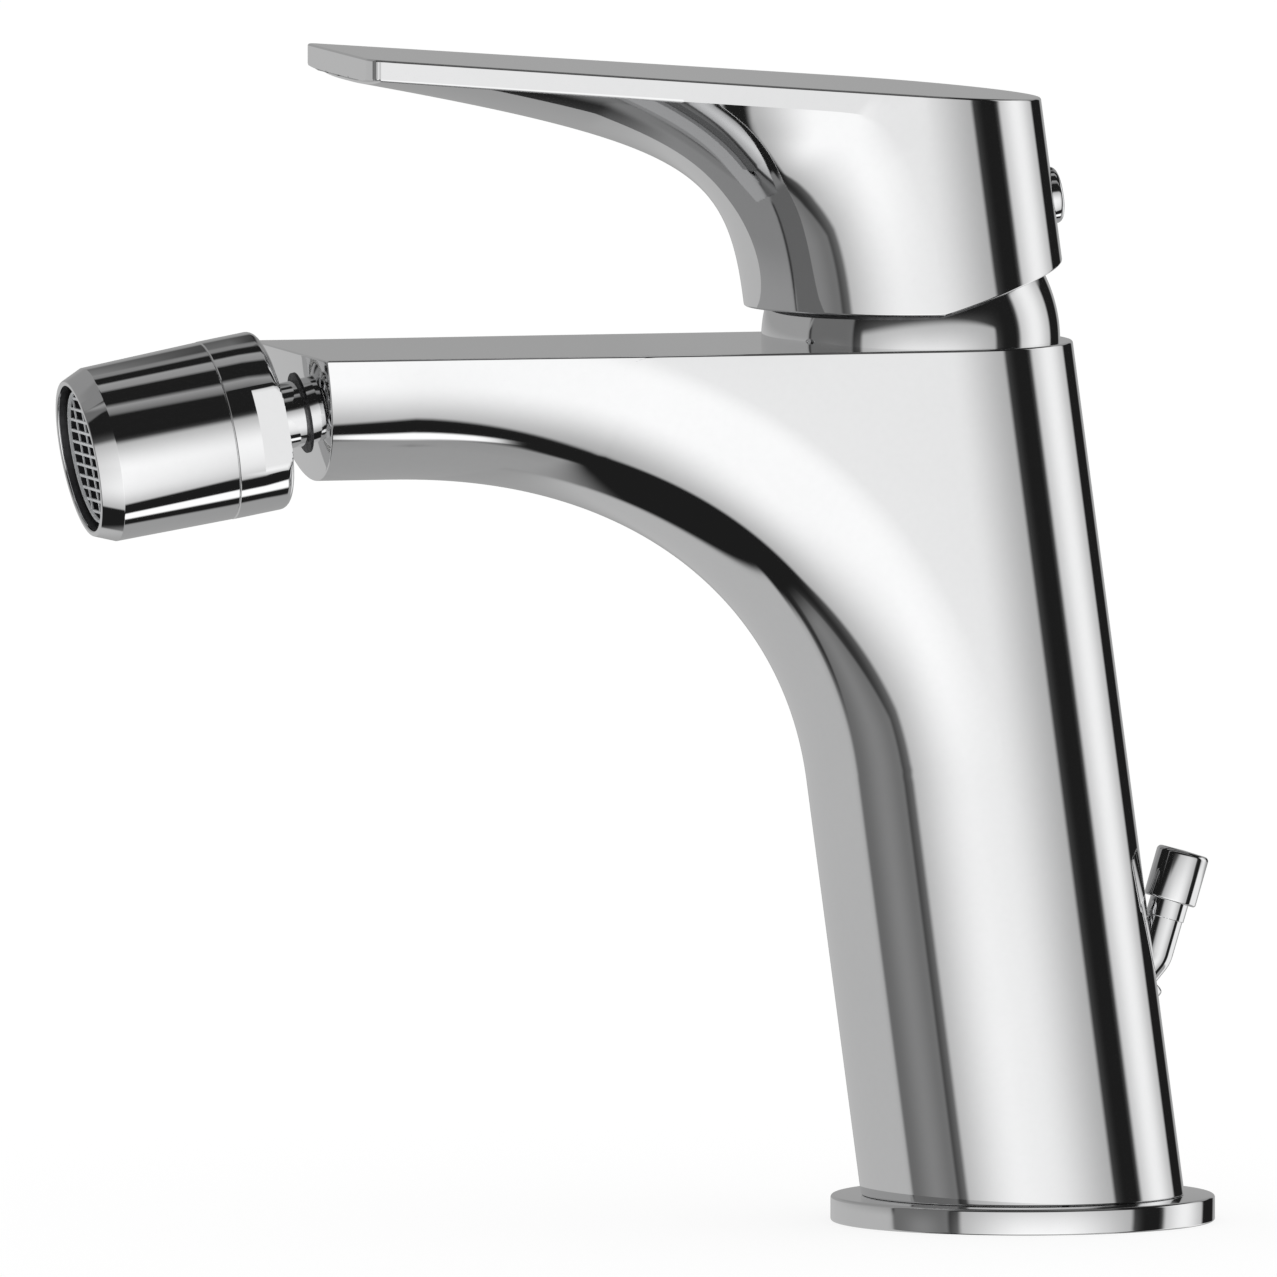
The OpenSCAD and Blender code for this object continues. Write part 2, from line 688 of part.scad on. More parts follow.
// The recess joins the cold and hot ports to the mixed water port when the lever is up
module moving_ceramic_disc() {
    lobe_x = 4;
    lobe_w = 4;
    bar_w = 5;
    lobe_end = 1;
    recess_h = moving_disc_h / 2;
    color("white") disc_frame() translate([0, 0, moving_floor]) difference() {
        cylinder(d = moving_disc_d, h = moving_disc_h);
        translate([-outlet_x, -bar_w / 2, -over]) cube([outlet_x + lobe_x, bar_w, recess_h + over]);
        translate([lobe_x - lobe_w / 2, -port_y - lobe_end, -over])
            cube([lobe_w, 2 * (port_y + lobe_end), recess_h + over]);
    }
}

module disc_coupler() {
    socket_floor = 0.5;
    color("whitesmoke") disc_frame() translate([0, 0, coupler_floor]) difference() {
        cylinder(r = coupler_r, h = coupler_h);
        translate([0, 0, socket_floor]) cylinder(d = stem_ball_d + 2 * slip, h = coupler_h);
    }
}

module spindle_carrier() {
    flange_start = flange_floor - seat_depth;
    color("whitesmoke") pivot_frame() difference() {
        union() {
            translate([0, 0, flange_start]) cylinder(r = neck_cavity_r - slip, h = flange_h);
            translate([0, 0, flange_start]) cylinder(d = carrier_d, h = carrier_top - flange_start);
        }
        translate([-carrier_slot_l / 2, -carrier_slot_w / 2, flange_start - over])
            cube([carrier_slot_l, carrier_slot_w, carrier_top - flange_start + 2 * over]);
        rotate([90, 0, 0]) cylinder(d = stem_pin_d + fit, h = 2 * carrier_d, center = true);
    }
}

module stem_pin() {
    end_gap = 0.6;
    color("silver") pivot_frame() rotate([90, 0, 0])
        cylinder(d = stem_pin_d, h = carrier_d - 2 * end_gap, center = true);
}

module lever_stem() {
    color("silver") stem_frame() difference() {
        union() {
            rotate([90, 0, 0]) cylinder(r = eye_r, h = stem_w, center = true);
            translate([-stem_w / 2, -stem_w / 2, 0]) cube([stem_w, stem_w, stem_h]);
            translate([0, 0, -stem_arm]) cylinder(d = arm_d, h = stem_arm);
            translate([0, 0, -stem_arm]) sphere(d = stem_ball_d);
        }
        rotate([90, 0, 0]) cylinder(d = stem_pin_d + 2 * fit, h = 2 * stem_w, center = true);
    }
}

module lever_outside() {
    hub_loop = lever_loop(0);
    rim_k = tan(rim_slope);
    loops = concat(
        [for (t = lever_stations) lever_loop(t)],
        [[for (p = hub_loop) along_axis_to(p, rim_z, 0)]]);
    last = len(loops) - 1;
    function height(i) = loops[i][0][2];
    back = [
        for (i = [blade_steps:last])
            back_row((height(blade_steps) - height(i)) / (height(blade_steps) - height(last)),
                [lever_top_z(0), -tan(lever_rise)], [rim_z - rim_k * column_axis_x(rim_z), rim_k])];
    fan_solid(loops, blade_steps, back);
}

module lever_handle() {
    socket_w = stem_w + 2 * fit;
    color("silver") difference() {
        lever_outside();
        difference() {
            pivot_frame() sphere(r = hollow_r);
            stem_frame() translate([0, 0, boss_floor]) cylinder(r = boss_r, h = column_d);
        }
        stem_frame() translate([-socket_w / 2, -socket_w / 2, 0]) cube([socket_w, socket_w, stem_h + slip]);
        pivot_frame() translate([-stem_w / 2, 0, index_h]) rotate([0, 90, 0])
            cylinder(d = index_shank_d, h = column_d);
        pivot_frame() translate([column_r - index_seat, 0, index_h]) rotate([0, 90, 0])
            cylinder(d = index_d + 2 * fit, h = column_d);
    }
}

module grub_screw() {
    tip_x = stem_w / 2 / cos(stem_rest) - (index_h - grub_d / 2) * tan(stem_rest) + 2 * fit;
    key_w = grub_d / 2;
    grub_l = 6;
    color("dimgray") pivot_frame() translate([tip_x, 0, index_h]) rotate([0, 90, 0]) difference() {
        cylinder(d = grub_d, h = grub_l);
        translate([0, 0, grub_l / 2]) cylinder(d = key_w / cos(30), h = grub_l, $fn = 6);
    }
}

module index_plug() {
    head = index_seat + index_out;
    shank_l = 5;
    edge = 0.6;
    color("silver") pivot_frame() translate([column_r - index_seat, 0, index_h]) rotate([0, 90, 0])
        rotate_extrude() polygon([
            [0, -shank_l], [grub_d / 2, -shank_l], [grub_d / 2, 0], [index_d / 2, 0],
            [index_d / 2, head - edge], [index_d / 2 - edge, head], [0, head]]);
}

module ball_nipple() {
    thread_r = nipple_thread_d / 2;
    color("silver") nozzle_frame() difference() {
        union() {
            translate([0, 0, -thread_l]) cylinder(r = thread_r, h = thread_l);
            cylinder(d = nipple_flange_d, h = flange_l);
            cylinder(d = nipple_neck_d, h = ball_out);
            translate([0, 0, ball_out]) sphere(r = ball_r);
        }
        translate([0, 0, -thread_l - over]) cylinder(d = nipple_bore, h = ball_out + ball_d + thread_l);
        translate([0, 0, -groove_start]) tube(thread_r + over, thread_r - nipple_o_cord, groove_l);
        translate([0, 0, ball_out + ball_face]) cylinder(r = ball_d, h = ball_d);
    }
}

module nipple_o_ring() {
    color("dimgray") nozzle_frame() translate([0, 0, groove_l / 2 - groove_start])
        o_ring(nipple_thread_d / 2 - nipple_o_cord / 2, nipple_o_cord - 2 * fit);
}

module ball_liner() {
    color("whitesmoke") nozzle_frame() translate([0, 0, ball_out]) intersection() {
        difference() {
            sphere(r = liner_out);
            sphere(r = liner_in);
        }
        translate([0, 0, -liner_back]) cylinder(r = 2 * liner_out, h = liner_back + liner_front);
    }
}

module nozzle_collar() {
    edge = 0.9;
    color("silver") nozzle_frame() difference() {
        rotate_extrude() polygon([
            [collar_mouth_r, collar_start], [nozzle_r - edge, collar_start],
            [nozzle_r, collar_start + edge], [nozzle_r, collar_end], [neck_outer_r, collar_end],
            [neck_outer_r, collar_end + collar_neck_l], [collar_mouth_r, collar_end + collar_neck_l]]);
        translate([0, 0, ball_out]) sphere(r = pocket_r);
        translate([0, 0, ball_out + 2 * slip])
            cylinder(r = neck_bore_r, h = collar_end + collar_neck_l);
        for (side = [-1, 1]) translate([-nozzle_r, side * (flats_w / 2 + nozzle_r / 2), collar_start - over])
            translate([0, -nozzle_r / 2, 0]) cube([nozzle_d, nozzle_r, flats_l + over]);
    }
}

module nozzle_shell() {
    seam_step = 0.05;
    front_step = 0.3;
    seam_r = nozzle_r - seam_step;
    front_r = nozzle_r - front_step;
    color("silver") nozzle_frame() rotate_extrude() polygon([
        [neck_outer_r + fit, collar_end], [seam_r, collar_end], [front_r, nozzle_end - rim_chamfer],
        [outlet_rim_d / 2, nozzle_end], [shell_lip_r, nozzle_end], [shell_lip_r, nozzle_end - insert_recess],
        [shell_bore_r, nozzle_end - insert_recess], [shell_bore_r, collar_end + collar_neck_l + slip],
        [neck_outer_r + fit, collar_end + collar_neck_l + slip]]);
}

module ball_seal() {
    color("dimgray") nozzle_frame() translate([0, 0, ball_out + seal_back]) difference() {
        cylinder(r = neck_bore_r - fit, h = seal_l);
        translate([0, 0, -seal_back]) sphere(r = liner_in);
        translate([0, 0, -over]) cylinder(r = seal_bore_r, h = seal_l + 2 * over);
    }
}

module outlet_gasket() {
    color("dimgray") nozzle_frame() translate([0, 0, gasket_start])
        tube(shell_bore_r - fit, shell_bore_r - gasket_ring_w, outlet_gasket_h);
}

module outlet_screen() {
    bar_w = 0.6;
    rim_w = 1.2;
    pitch = 2 * insert_r / (screen_bars + 1);
    color("silver") nozzle_frame() translate([0, 0, screen_start]) {
        tube(insert_r, insert_r - rim_w, screen_h);
        intersection() {
            cylinder(r = insert_r - rim_w / 2, h = screen_h);
            for (turn = [0, 90]) rotate([0, 0, turn]) for (i = [1:screen_bars])
                translate([i * pitch - insert_r - bar_w / 2, -insert_r, 0])
                    cube([bar_w, 2 * insert_r, screen_h]);
        }
    }
}

module outlet_insert() {
    length = insert_front - insert_start;
    color("whitesmoke") nozzle_frame() translate([0, 0, insert_start]) difference() {
        cylinder(r = insert_r, h = length);
        translate([0, 0, -over]) cylinder(r = insert_r - insert_wall, h = length - insert_face + over);
        for (ring = jet_rings) for (k = [0:ring[1] - 1])
            rotate([0, 0, 360 * k / ring[1]])
                translate([ring[0], 0, 0]) cylinder(d = jet_d, h = length + over);
    }
}

// Straight length of rod between two points of the middle plane
module rod_length(from, to) {
    run = to - from;
    translate([from[0], 0, from[1]]) rotate([0, atan2(run[0], run[1]), 0])
        cylinder(r = rod_r, h = norm(run));
}

// Bend of rod about a centre in the middle plane, let a little way into the straight lengths
module rod_arc(centre, start, turn) {
    let_in = 3;
    translate([centre[0], 0, centre[1]]) rotate([90, 0, 0]) rotate([0, 0, start - let_in])
        rotate_extrude(angle = turn + 2 * let_in) translate([rod_bend, 0]) circle(r = rod_r - fit);
}

module waste_rod() {
    kink = [kink_x, kink_z];
    slope = [sin(rod_slope), cos(rod_slope)];
    rise = [sin(knob_slope), cos(knob_slope)];
    foot = kink - rod_run * slope;
    rod_top = kink + (knob_up - knob_l / 2 + knob_bore_depth) * rise;
    step_start = kink + (knob_up - knob_l / 2 - step_drop) * rise;
    color("silver") {
        rod_length(kink + kink_cut * rise, rod_top);
        rod_arc(kink - kink_cut * slope + rod_bend * [-slope[1], slope[0]],
            -rod_slope, rod_slope - knob_slope);
        rod_length(foot + foot_cut * slope, kink - kink_cut * slope);
        rod_arc(foot + [rod_bend, -foot_cut], 180 - rod_slope, rod_slope);
        rod_length([foot[0], rod_foot_z], foot - [0, foot_cut]);
        translate([step_start[0], 0, step_start[1]]) rotate([0, knob_slope, 0])
            cylinder(r = step_r, h = step_l);
    }
}

module waste_knob() {
    edge = 0.9;
    bore_r = rod_r + fit;
    knob_r = knob_d / 2;
    color("silver") translate([kink_x, 0, kink_z]) rotate([0, knob_slope, 0])
        translate([0, 0, knob_up - knob_l / 2]) rotate_extrude() polygon([
            [bore_r, 0], [knob_r - edge / 2, 0], [knob_r, edge / 2], [knob_r, knob_l - edge],
            [knob_r - edge, knob_l], [0, knob_l], [0, knob_bore_depth], [bore_r, knob_bore_depth]]);
}

module rod_bush() {
    color("silver") waste_frame() translate([0, 0, -bush_start - bush_l])
        tube(bush_d / 2, rod_r + fit, bush_l);
}

body_casting();
base_ring();
base_gasket();
dome_cover();
dome_o_ring();
cartridge_nut();
cartridge_housing();
cartridge_base();
port_seals();
fixed_ceramic_disc();
ball_nipple();
nipple_o_ring();
rod_bush();
spindle_carrier();
stem_pin();
moving_ceramic_disc();
disc_coupler();
lever_handle();
lever_stem();
grub_screw();
index_plug();
ball_liner();
nozzle_collar();
nozzle_shell();
ball_seal();
outlet_gasket();
outlet_screen();
outlet_insert();
waste_rod();
waste_knob();
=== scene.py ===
"""Chrome bidet mixer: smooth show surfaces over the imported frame, their finishes and a small studio.

Lengths are in millimetres and angles in degrees, unless a name or a docstring says otherwise. The deck
is the plane z = 0, the spout points along -X, and the camera looks at the side that faces -Y.
"""
from __future__ import annotations

import json
import logging
import math
from dataclasses import dataclass, field
from enum import Enum
from typing import Any, Callable, Iterable, Mapping, Sequence

import bmesh
import bpy
from mathutils import Matrix, Vector

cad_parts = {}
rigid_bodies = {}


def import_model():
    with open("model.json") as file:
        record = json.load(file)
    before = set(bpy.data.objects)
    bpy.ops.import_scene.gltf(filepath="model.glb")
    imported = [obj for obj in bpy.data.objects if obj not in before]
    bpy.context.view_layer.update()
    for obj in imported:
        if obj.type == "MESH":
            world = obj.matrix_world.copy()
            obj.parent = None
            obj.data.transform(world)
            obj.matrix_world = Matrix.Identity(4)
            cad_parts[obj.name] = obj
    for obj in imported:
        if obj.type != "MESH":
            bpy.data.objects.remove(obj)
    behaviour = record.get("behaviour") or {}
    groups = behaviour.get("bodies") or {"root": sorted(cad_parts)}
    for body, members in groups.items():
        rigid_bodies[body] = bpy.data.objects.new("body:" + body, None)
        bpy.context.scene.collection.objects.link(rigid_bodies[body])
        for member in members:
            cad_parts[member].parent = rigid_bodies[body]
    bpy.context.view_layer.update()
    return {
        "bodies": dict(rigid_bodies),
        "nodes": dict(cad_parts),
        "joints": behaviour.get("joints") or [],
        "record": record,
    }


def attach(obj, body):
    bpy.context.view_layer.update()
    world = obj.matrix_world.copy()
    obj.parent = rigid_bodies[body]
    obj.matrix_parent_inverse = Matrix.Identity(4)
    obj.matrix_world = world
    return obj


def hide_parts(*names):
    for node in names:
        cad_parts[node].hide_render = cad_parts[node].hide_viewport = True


MM = 0.001
WELD = 1e-7  # metres
BEVEL_SEGMENTS = 3
BEVEL_ANGLE = 50.0
FLAT_ARC = 30.0  # a section with a smaller arc turns up more towards its edges
EDGE_TUCK = 1.6
ARC_GAP = 0.02
HALVINGS = 50
DARK = 0.014  # brightness of a dark card
LOG = logging.getLogger("bidet_mixer")

Colour = tuple[float, float, float]
Outline = list[tuple[float, float]]


def sind(angle: float) -> float:
    """Sine of an angle in degrees."""
    return math.sin(math.radians(angle))


def cosd(angle: float) -> float:
    """Cosine of an angle in degrees."""
    return math.cos(math.radians(angle))


def tand(angle: float) -> float:
    """Tangent of an angle in degrees."""
    return math.tan(math.radians(angle))


# Shader building


class Sock:
    """A shader output that takes part in Python sums: each sum adds a Math node."""

    def __init__(self, tree: Tree, socket: bpy.types.NodeSocket) -> None:
        """Keeps the output and the tree that it belongs to.

        Args:
            tree: The tree that new nodes go into.
            socket: The output that this object stands for.
        """
        self.tree = tree
        self.socket = socket

    def _sum(self, operation: str, first: Any, second: Any) -> Sock:
        """Adds one Math node.

        Args:
            operation: Name of the Math operation.
            first: Left side, a number or a Sock.
            second: Right side, a number or a Sock.

        Returns:
            The node's value.
        """
        return self.tree.node("ShaderNodeMath", {"operation": operation}, {0: first, 1: second})

    def __add__(self, other: Any) -> Sock:
        """Sum of two values."""
        return self._sum("ADD", self, other)

    def __radd__(self, other: Any) -> Sock:
        """Sum with a number on the left."""
        return self._sum("ADD", other, self)

    def __sub__(self, other: Any) -> Sock:
        """Difference of two values."""
        return self._sum("SUBTRACT", self, other)

    def __rsub__(self, other: Any) -> Sock:
        """Difference from a number on the left."""
        return self._sum("SUBTRACT", other, self)

    def __mul__(self, other: Any) -> Sock:
        """Product of two values."""
        return self._sum("MULTIPLY", self, other)

    def __rmul__(self, other: Any) -> Sock:
        """Product with a number on the left."""
        return self._sum("MULTIPLY", other, self)

    def __truediv__(self, other: Any) -> Sock:
        """Quotient of two values."""
        return self._sum("DIVIDE", self, other)

    def __rtruediv__(self, other: Any) -> Sock:
        """Quotient of a number and this value."""
        return self._sum("DIVIDE", other, self)

    def heading(self, across: Sock) -> Sock:
        """Angle in degrees of the direction that runs this far ahead and the other value across."""
        return self._sum("ARCTAN2", across, self) * math.degrees(1.0)

    def above(self, edge: float, soft: float) -> Sock:
        """Soft step from 0 below an edge to 1 above it.

        Args:
            edge: Middle of the step.
            soft: Width of the step.

        Returns:
            The step.
        """
        return self.tree.node(
            "ShaderNodeMapRange", {"interpolation_type": "SMOOTHSTEP"},
            {"Value": self, "From Min": edge - soft / 2, "From Max": edge + soft / 2})

    def root(self) -> Sock:
        """Square root of the value."""
        return self._sum("SQRT", self, 0.0)

    def larger(self, other: Any) -> Sock:
        """Larger of two values."""
        return self._sum("MAXIMUM", self, other)

    def smaller(self, other: Any) -> Sock:
        """Smaller of two values."""
        return self._sum("MINIMUM", self, other)


class Tree:
    """One node tree, filled through a single node-making method."""

    def __init__(self, tree: bpy.types.NodeTree) -> None:
        """Empties the tree and keeps it.

        Args:
            tree: Tree of a material or of the world.
        """
        self.tree = tree
        self.tree.nodes.clear()

    def node(self, kind: str, settings: Mapping[str, Any], inputs: Mapping[Any, Any],
             output: Any = 0) -> Sock:
        """Adds a node, sets it up and feeds it.

        Args:
            kind: Blender's type name of the node.
            settings: Properties that are set first. The key stops takes a ramp's stops.
            inputs: Values or Socks by input name or number.
            output: Name or number of the output that is wanted.

        Returns:
            That output.
        """
        made = self.tree.nodes.new(kind)
        for key, value in settings.items():
            if key == "stops":
                self._stops(made.color_ramp, value)
            else:
                setattr(made, key, value)
        for key, value in inputs.items():
            if isinstance(value, Sock):
                self.tree.links.new(value.socket, made.inputs[key])
            else:
                made.inputs[key].default_value = value
        return Sock(self, made.outputs[output] if len(made.outputs) else None)

    @staticmethod
    def _stops(ramp: bpy.types.ColorRamp, stops: Sequence[tuple[float, float]]) -> None:
        """Sets a ramp's grey stops.

        Args:
            ramp: Ramp with its two first stops.
            stops: Place and grey level of each stop, in order.
        """
        while len(ramp.elements) < len(stops):
            ramp.elements.new(1.0)
        for element, (place, level) in zip(ramp.elements, stops):
            element.position = place
            element.color = (level, level, level, 1.0)


class Grain(Enum):
    """How the colour and the gloss of a finish vary, with how much finer its fine pattern is."""

    POLISHED = 22.0
    TURNED = 9.0
    MOULDED = 8.0
    SPECKLED = 14.0


@dataclass(frozen=True)
class Finish:
    """One surface finish, with the spread of its colour and gloss."""

    name: str
    slot: str
    light: Colour
    dark: Colour
    metallic: float
    gloss: tuple[float, float]
    grain: Grain
    scale: float
    relief: float
    specular: float = 0.5
    relief_h: float = 0.05

    def material(self) -> bpy.types.Material:
        """Makes the finish once and gives it again later.

        Returns:
            The material.
        """
        known = bpy.data.materials.get(self.name)
        if known is not None:
            return known
        made = bpy.data.materials.new(self.name)
        made.use_nodes = True
        made.diffuse_color = (*self.light, 1.0)
        tree = Tree(made.node_tree)
        wear = self._wear(tree)
        colour = tree.node(
            "ShaderNodeMix", {"data_type": "RGBA"},
            {"Factor": wear, 6: (*self.light, 1.0), 7: (*self.dark, 1.0)}, 2)
        rough = self.gloss[0] + wear * (self.gloss[1] - self.gloss[0])
        bump = tree.node(
            "ShaderNodeBump", {},
            {"Strength": self.relief, "Distance": self.relief_h * MM, "Height": wear})
        shader = tree.node(
            "ShaderNodeBsdfPrincipled", {},
            {"Base Color": colour, "Metallic": self.metallic, "Roughness": rough, "Normal": bump,
             "Specular IOR Level": self.specular})
        tree.node("ShaderNodeOutputMaterial", {}, {"Surface": shader})
        return made

    def _wear(self, tree: Tree) -> Sock:
        """Builds the pattern of this finish.

        Args:
            tree: Tree of the material.

        Returns:
            A value from 0 to 1 over the surface.
        """
        place = tree.node("ShaderNodeTexCoord", {}, {}, "Object")
        broad = tree.node(
            "ShaderNodeTexNoise", {}, {"Vector": place, "Scale": self.scale, "Detail": 3.0}, 0)
        finer = self.grain.value * self.scale
        if self.grain is Grain.TURNED:
            rings = tree.node(
                "ShaderNodeTexWave", {"wave_type": "RINGS", "rings_direction": "Z"},
                {"Vector": place, "Scale": finer, "Distortion": 1.5, "Detail": 2.0}, 1)
            return rings * 0.6 + broad * 0.4
        if self.grain is Grain.SPECKLED:
            specks = tree.node("ShaderNodeTexVoronoi", {}, {"Vector": place, "Scale": finer}, 0)
            return specks * 0.5 + broad * 0.5
        fine = tree.node(
            "ShaderNodeTexNoise", {}, {"Vector": place, "Scale": finer, "Detail": 4.0}, 0)
        return broad * 0.6 + fine * 0.4


class Finishes(Enum):
    """The finishes of this mixer."""

    CHROME = Finish("polished_chrome", "chrome", (0.868, 0.87, 0.874), (0.805, 0.807, 0.812), 1.0,
                    (0.025, 0.05), Grain.POLISHED, 40.0, 0.01)
    BRASS = Finish("turned_brass", "nut_brass", (0.74, 0.58, 0.29), (0.60, 0.45, 0.20), 1.0,
                   (0.22, 0.38), Grain.TURNED, 60.0, 0.3)
    RUBBER = Finish("black_rubber", "seal_rubber", (0.045, 0.045, 0.047), (0.025, 0.025, 0.026), 0.0,
                    (0.62, 0.8), Grain.SPECKLED, 90.0, 0.4)
    WHITE_PLASTIC = Finish("white_moulded_plastic", "white_plastic", (0.84, 0.84, 0.82),
                           (0.74, 0.74, 0.72), 0.0, (0.38, 0.5), Grain.MOULDED, 120.0, 0.25)
    GREY_COMB = Finish("grey_outlet_plastic", "white_plastic", (0.55, 0.56, 0.57),
                       (0.44, 0.45, 0.46), 0.0, (0.22, 0.34), Grain.MOULDED, 120.0, 0.15)
    DARK_PLASTIC = Finish("dark_moulded_plastic", "white_plastic", (0.035, 0.035, 0.038),
                          (0.02, 0.02, 0.022), 0.0, (0.6, 0.75), Grain.MOULDED, 120.0, 0.25, 0.08)
    # Dull dark metal: the raw inside of the body well and column, the nipple flange and the inner wall
    # of the nozzle shell; under the lever hub's rim and inside its hollow it is painted shade.
    CASTING_AND_PAINTED_SHADE = Finish("dull_casting_and_painted_shade", "chrome", (0.12, 0.12, 0.125), (0.06, 0.06, 0.063), 1.0,
                     (0.45, 0.6), Grain.SPECKLED, 60.0, 0.4)
    CERAMIC = Finish("lapped_ceramic", "disc_ceramic", (0.92, 0.91, 0.88), (0.85, 0.84, 0.81), 0.0,
                     (0.12, 0.2), Grain.SPECKLED, 80.0, 0.1)
    STEEL = Finish("plain_steel", "inner_steel", (0.62, 0.62, 0.64), (0.5, 0.5, 0.52), 1.0,
                   (0.25, 0.4), Grain.TURNED, 80.0, 0.25)


# Mesh building


def rounded(corners: Sequence[tuple[float, float, float]], steps: int = 6) -> Outline:
    """Rounds the corners of an outline. The first and last corners stay as they are.

    Args:
        corners: Radius from the axis, height, and corner radius of each corner.
        steps: Parts that each rounding is cut into.

    Returns:
        The outline with its roundings.
    """
    line: Outline = [corners[0][:2]]
    for before, corner, after in zip(corners, corners[1:], corners[2:]):
        here = Vector(corner[:2])
        back = (Vector(before[:2]) - here).normalized()
        ahead = (Vector(after[:2]) - here).normalized()
        half = back.angle(ahead) / 2
        if corner[2] <= 0 or half > math.radians(89.5):
            line.append(corner[:2])
            continue
        centre = here + (back + ahead).normalized() * corner[2] / math.sin(half)
        first = here + back * corner[2] / math.tan(half) - centre
        last = here + ahead * corner[2] / math.tan(half) - centre
        sweep = math.pi - 2 * half
        for i in range(steps + 1):
            near = math.sin(sweep * (1 - i / steps)) / math.sin(sweep)
            far = math.sin(sweep * i / steps) / math.sin(sweep)
            line.append(tuple(centre + first * near + last * far))
    line.append(corners[-1][:2])
    return line


class Surface:
    """Points and faces of one piece, gathered before Blender gets them."""

    def __init__(self) -> None:
        """Starts with nothing."""
        self.points: list[Vector] = []
        self.faces: list[list[int]] = []
        self.second: set[int] = set()

    def mark_from(self, first: int) -> None:
        """Gives the second finish to every face from this number on."""
        self.second.update(range(first, len(self.faces)))

    def row(self, points: Iterable[Vector]) -> list[int]:
        """Adds a row of points.

        Args:
            points: The points in order.

        Returns:
            Their numbers.
        """
        first = len(self.points)
        self.points.extend(Vector(p) for p in points)
        return list(range(first, len(self.points)))

    def strip(self, first: Sequence[int], second: Sequence[int], closed: bool = False) -> None:
        """Joins two rows with faces. A row of one point makes a fan, and two such rows make nothing.

        Args:
            first: Numbers of one row.
            second: Numbers of the next row.
            closed: Whether the rows run all the way round.
        """
        size = max(len(first), len(second))
        if size == 1:
            return
        for i in range(size if closed else size - 1):
            j = (i + 1) % size
            low = [first[0]] if len(first) == 1 else [first[i], first[j]]
            high = [second[0]] if len(second) == 1 else [second[j], second[i]]
            self.faces.append(low + high)

    def skin(self, rows: Sequence[Sequence[int]], loop: bool = False) -> None:
        """Joins rows that run all the way round, one after the other.

        Args:
            rows: Numbers of each row.
            loop: Whether the last row joins the first one.
        """
        for low, high in zip(rows, [*rows[1:], *rows[:1]] if loop else rows[1:]):
            self.strip(low, high, closed=True)

    def spin(self, line: Outline, parts: int, loop: bool = False) -> None:
        """Turns an outline round the local Z axis.

        Args:
            line: Radius and height of each point.
            parts: Number of parts of the turn.
            loop: Whether the outline closes on itself.
        """
        rows = []
        for radius, height in line:
            turns = range(parts) if radius > 1e-6 else range(1)
            rows.append(self.row(
                Vector((radius * cosd(360 * k / parts), radius * sind(360 * k / parts), height))
                for k in turns))
        self.skin(rows, loop)

    def piece(self, name: str, place: Matrix = Matrix(), crease: float = 32.0,
              edge: float = 0.0) -> bpy.types.Object:
        """Makes the Blender object.

        Args:
            name: Name of the piece.
            place: Frame of the points, with its translation in millimetres.
            crease: Angle in degrees over which an edge stays sharp.
            edge: Width of the rounding on sharp edges.

        Returns:
            The object, with its points in metres in the row frame.
        """
        mesh = bpy.data.meshes.new(name)
        mesh.from_pydata([place @ p * MM for p in self.points], [], self.faces)
        marks = [int(i in self.second) for i in range(len(self.faces))]
        mesh.polygons.foreach_set("material_index", marks)
        work = bmesh.new()
        work.from_mesh(mesh)
        bmesh.ops.remove_doubles(work, verts=work.verts, dist=WELD)
        bmesh.ops.recalc_face_normals(work, faces=work.faces)
        work.to_mesh(mesh)
        work.free()
        mesh.polygons.foreach_set("use_smooth", [True] * len(mesh.polygons))
        mesh.set_sharp_from_angle(angle=math.radians(crease))
        made = bpy.data.objects.new(name, mesh)
        bpy.context.scene.collection.objects.link(made)
        if edge > 0:
            bevel = made.modifiers.new("edge_rounding", "BEVEL")
            bevel.width = edge * MM
            bevel.segments = BEVEL_SEGMENTS
            bevel.limit_method = "ANGLE"
            bevel.angle_limit = math.radians(BEVEL_ANGLE)
            bevel.use_clamp_overlap = False
            bevel.harden_normals = True
        return made


def dress(piece: bpy.types.Object, body: str, node: str, finish: Finishes,
          second: Finishes | None = None) -> None:
    """Gives a piece its finish and its body, and hides the node of the frame that it replaces.

    Args:
        piece: The piece.
        body: Body that it rides on.
        node: Node of the frame that it replaces.
        finish: Its finish.
        second: Finish of its marked faces.
    """
    for each in (finish, second):
        if each is not None:
            piece.data.materials.append(each.value.material())
    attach(piece, body)
    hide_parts(node)
    LOG.info("%s rides on %s", piece.name, body)


# Sub-assemblies


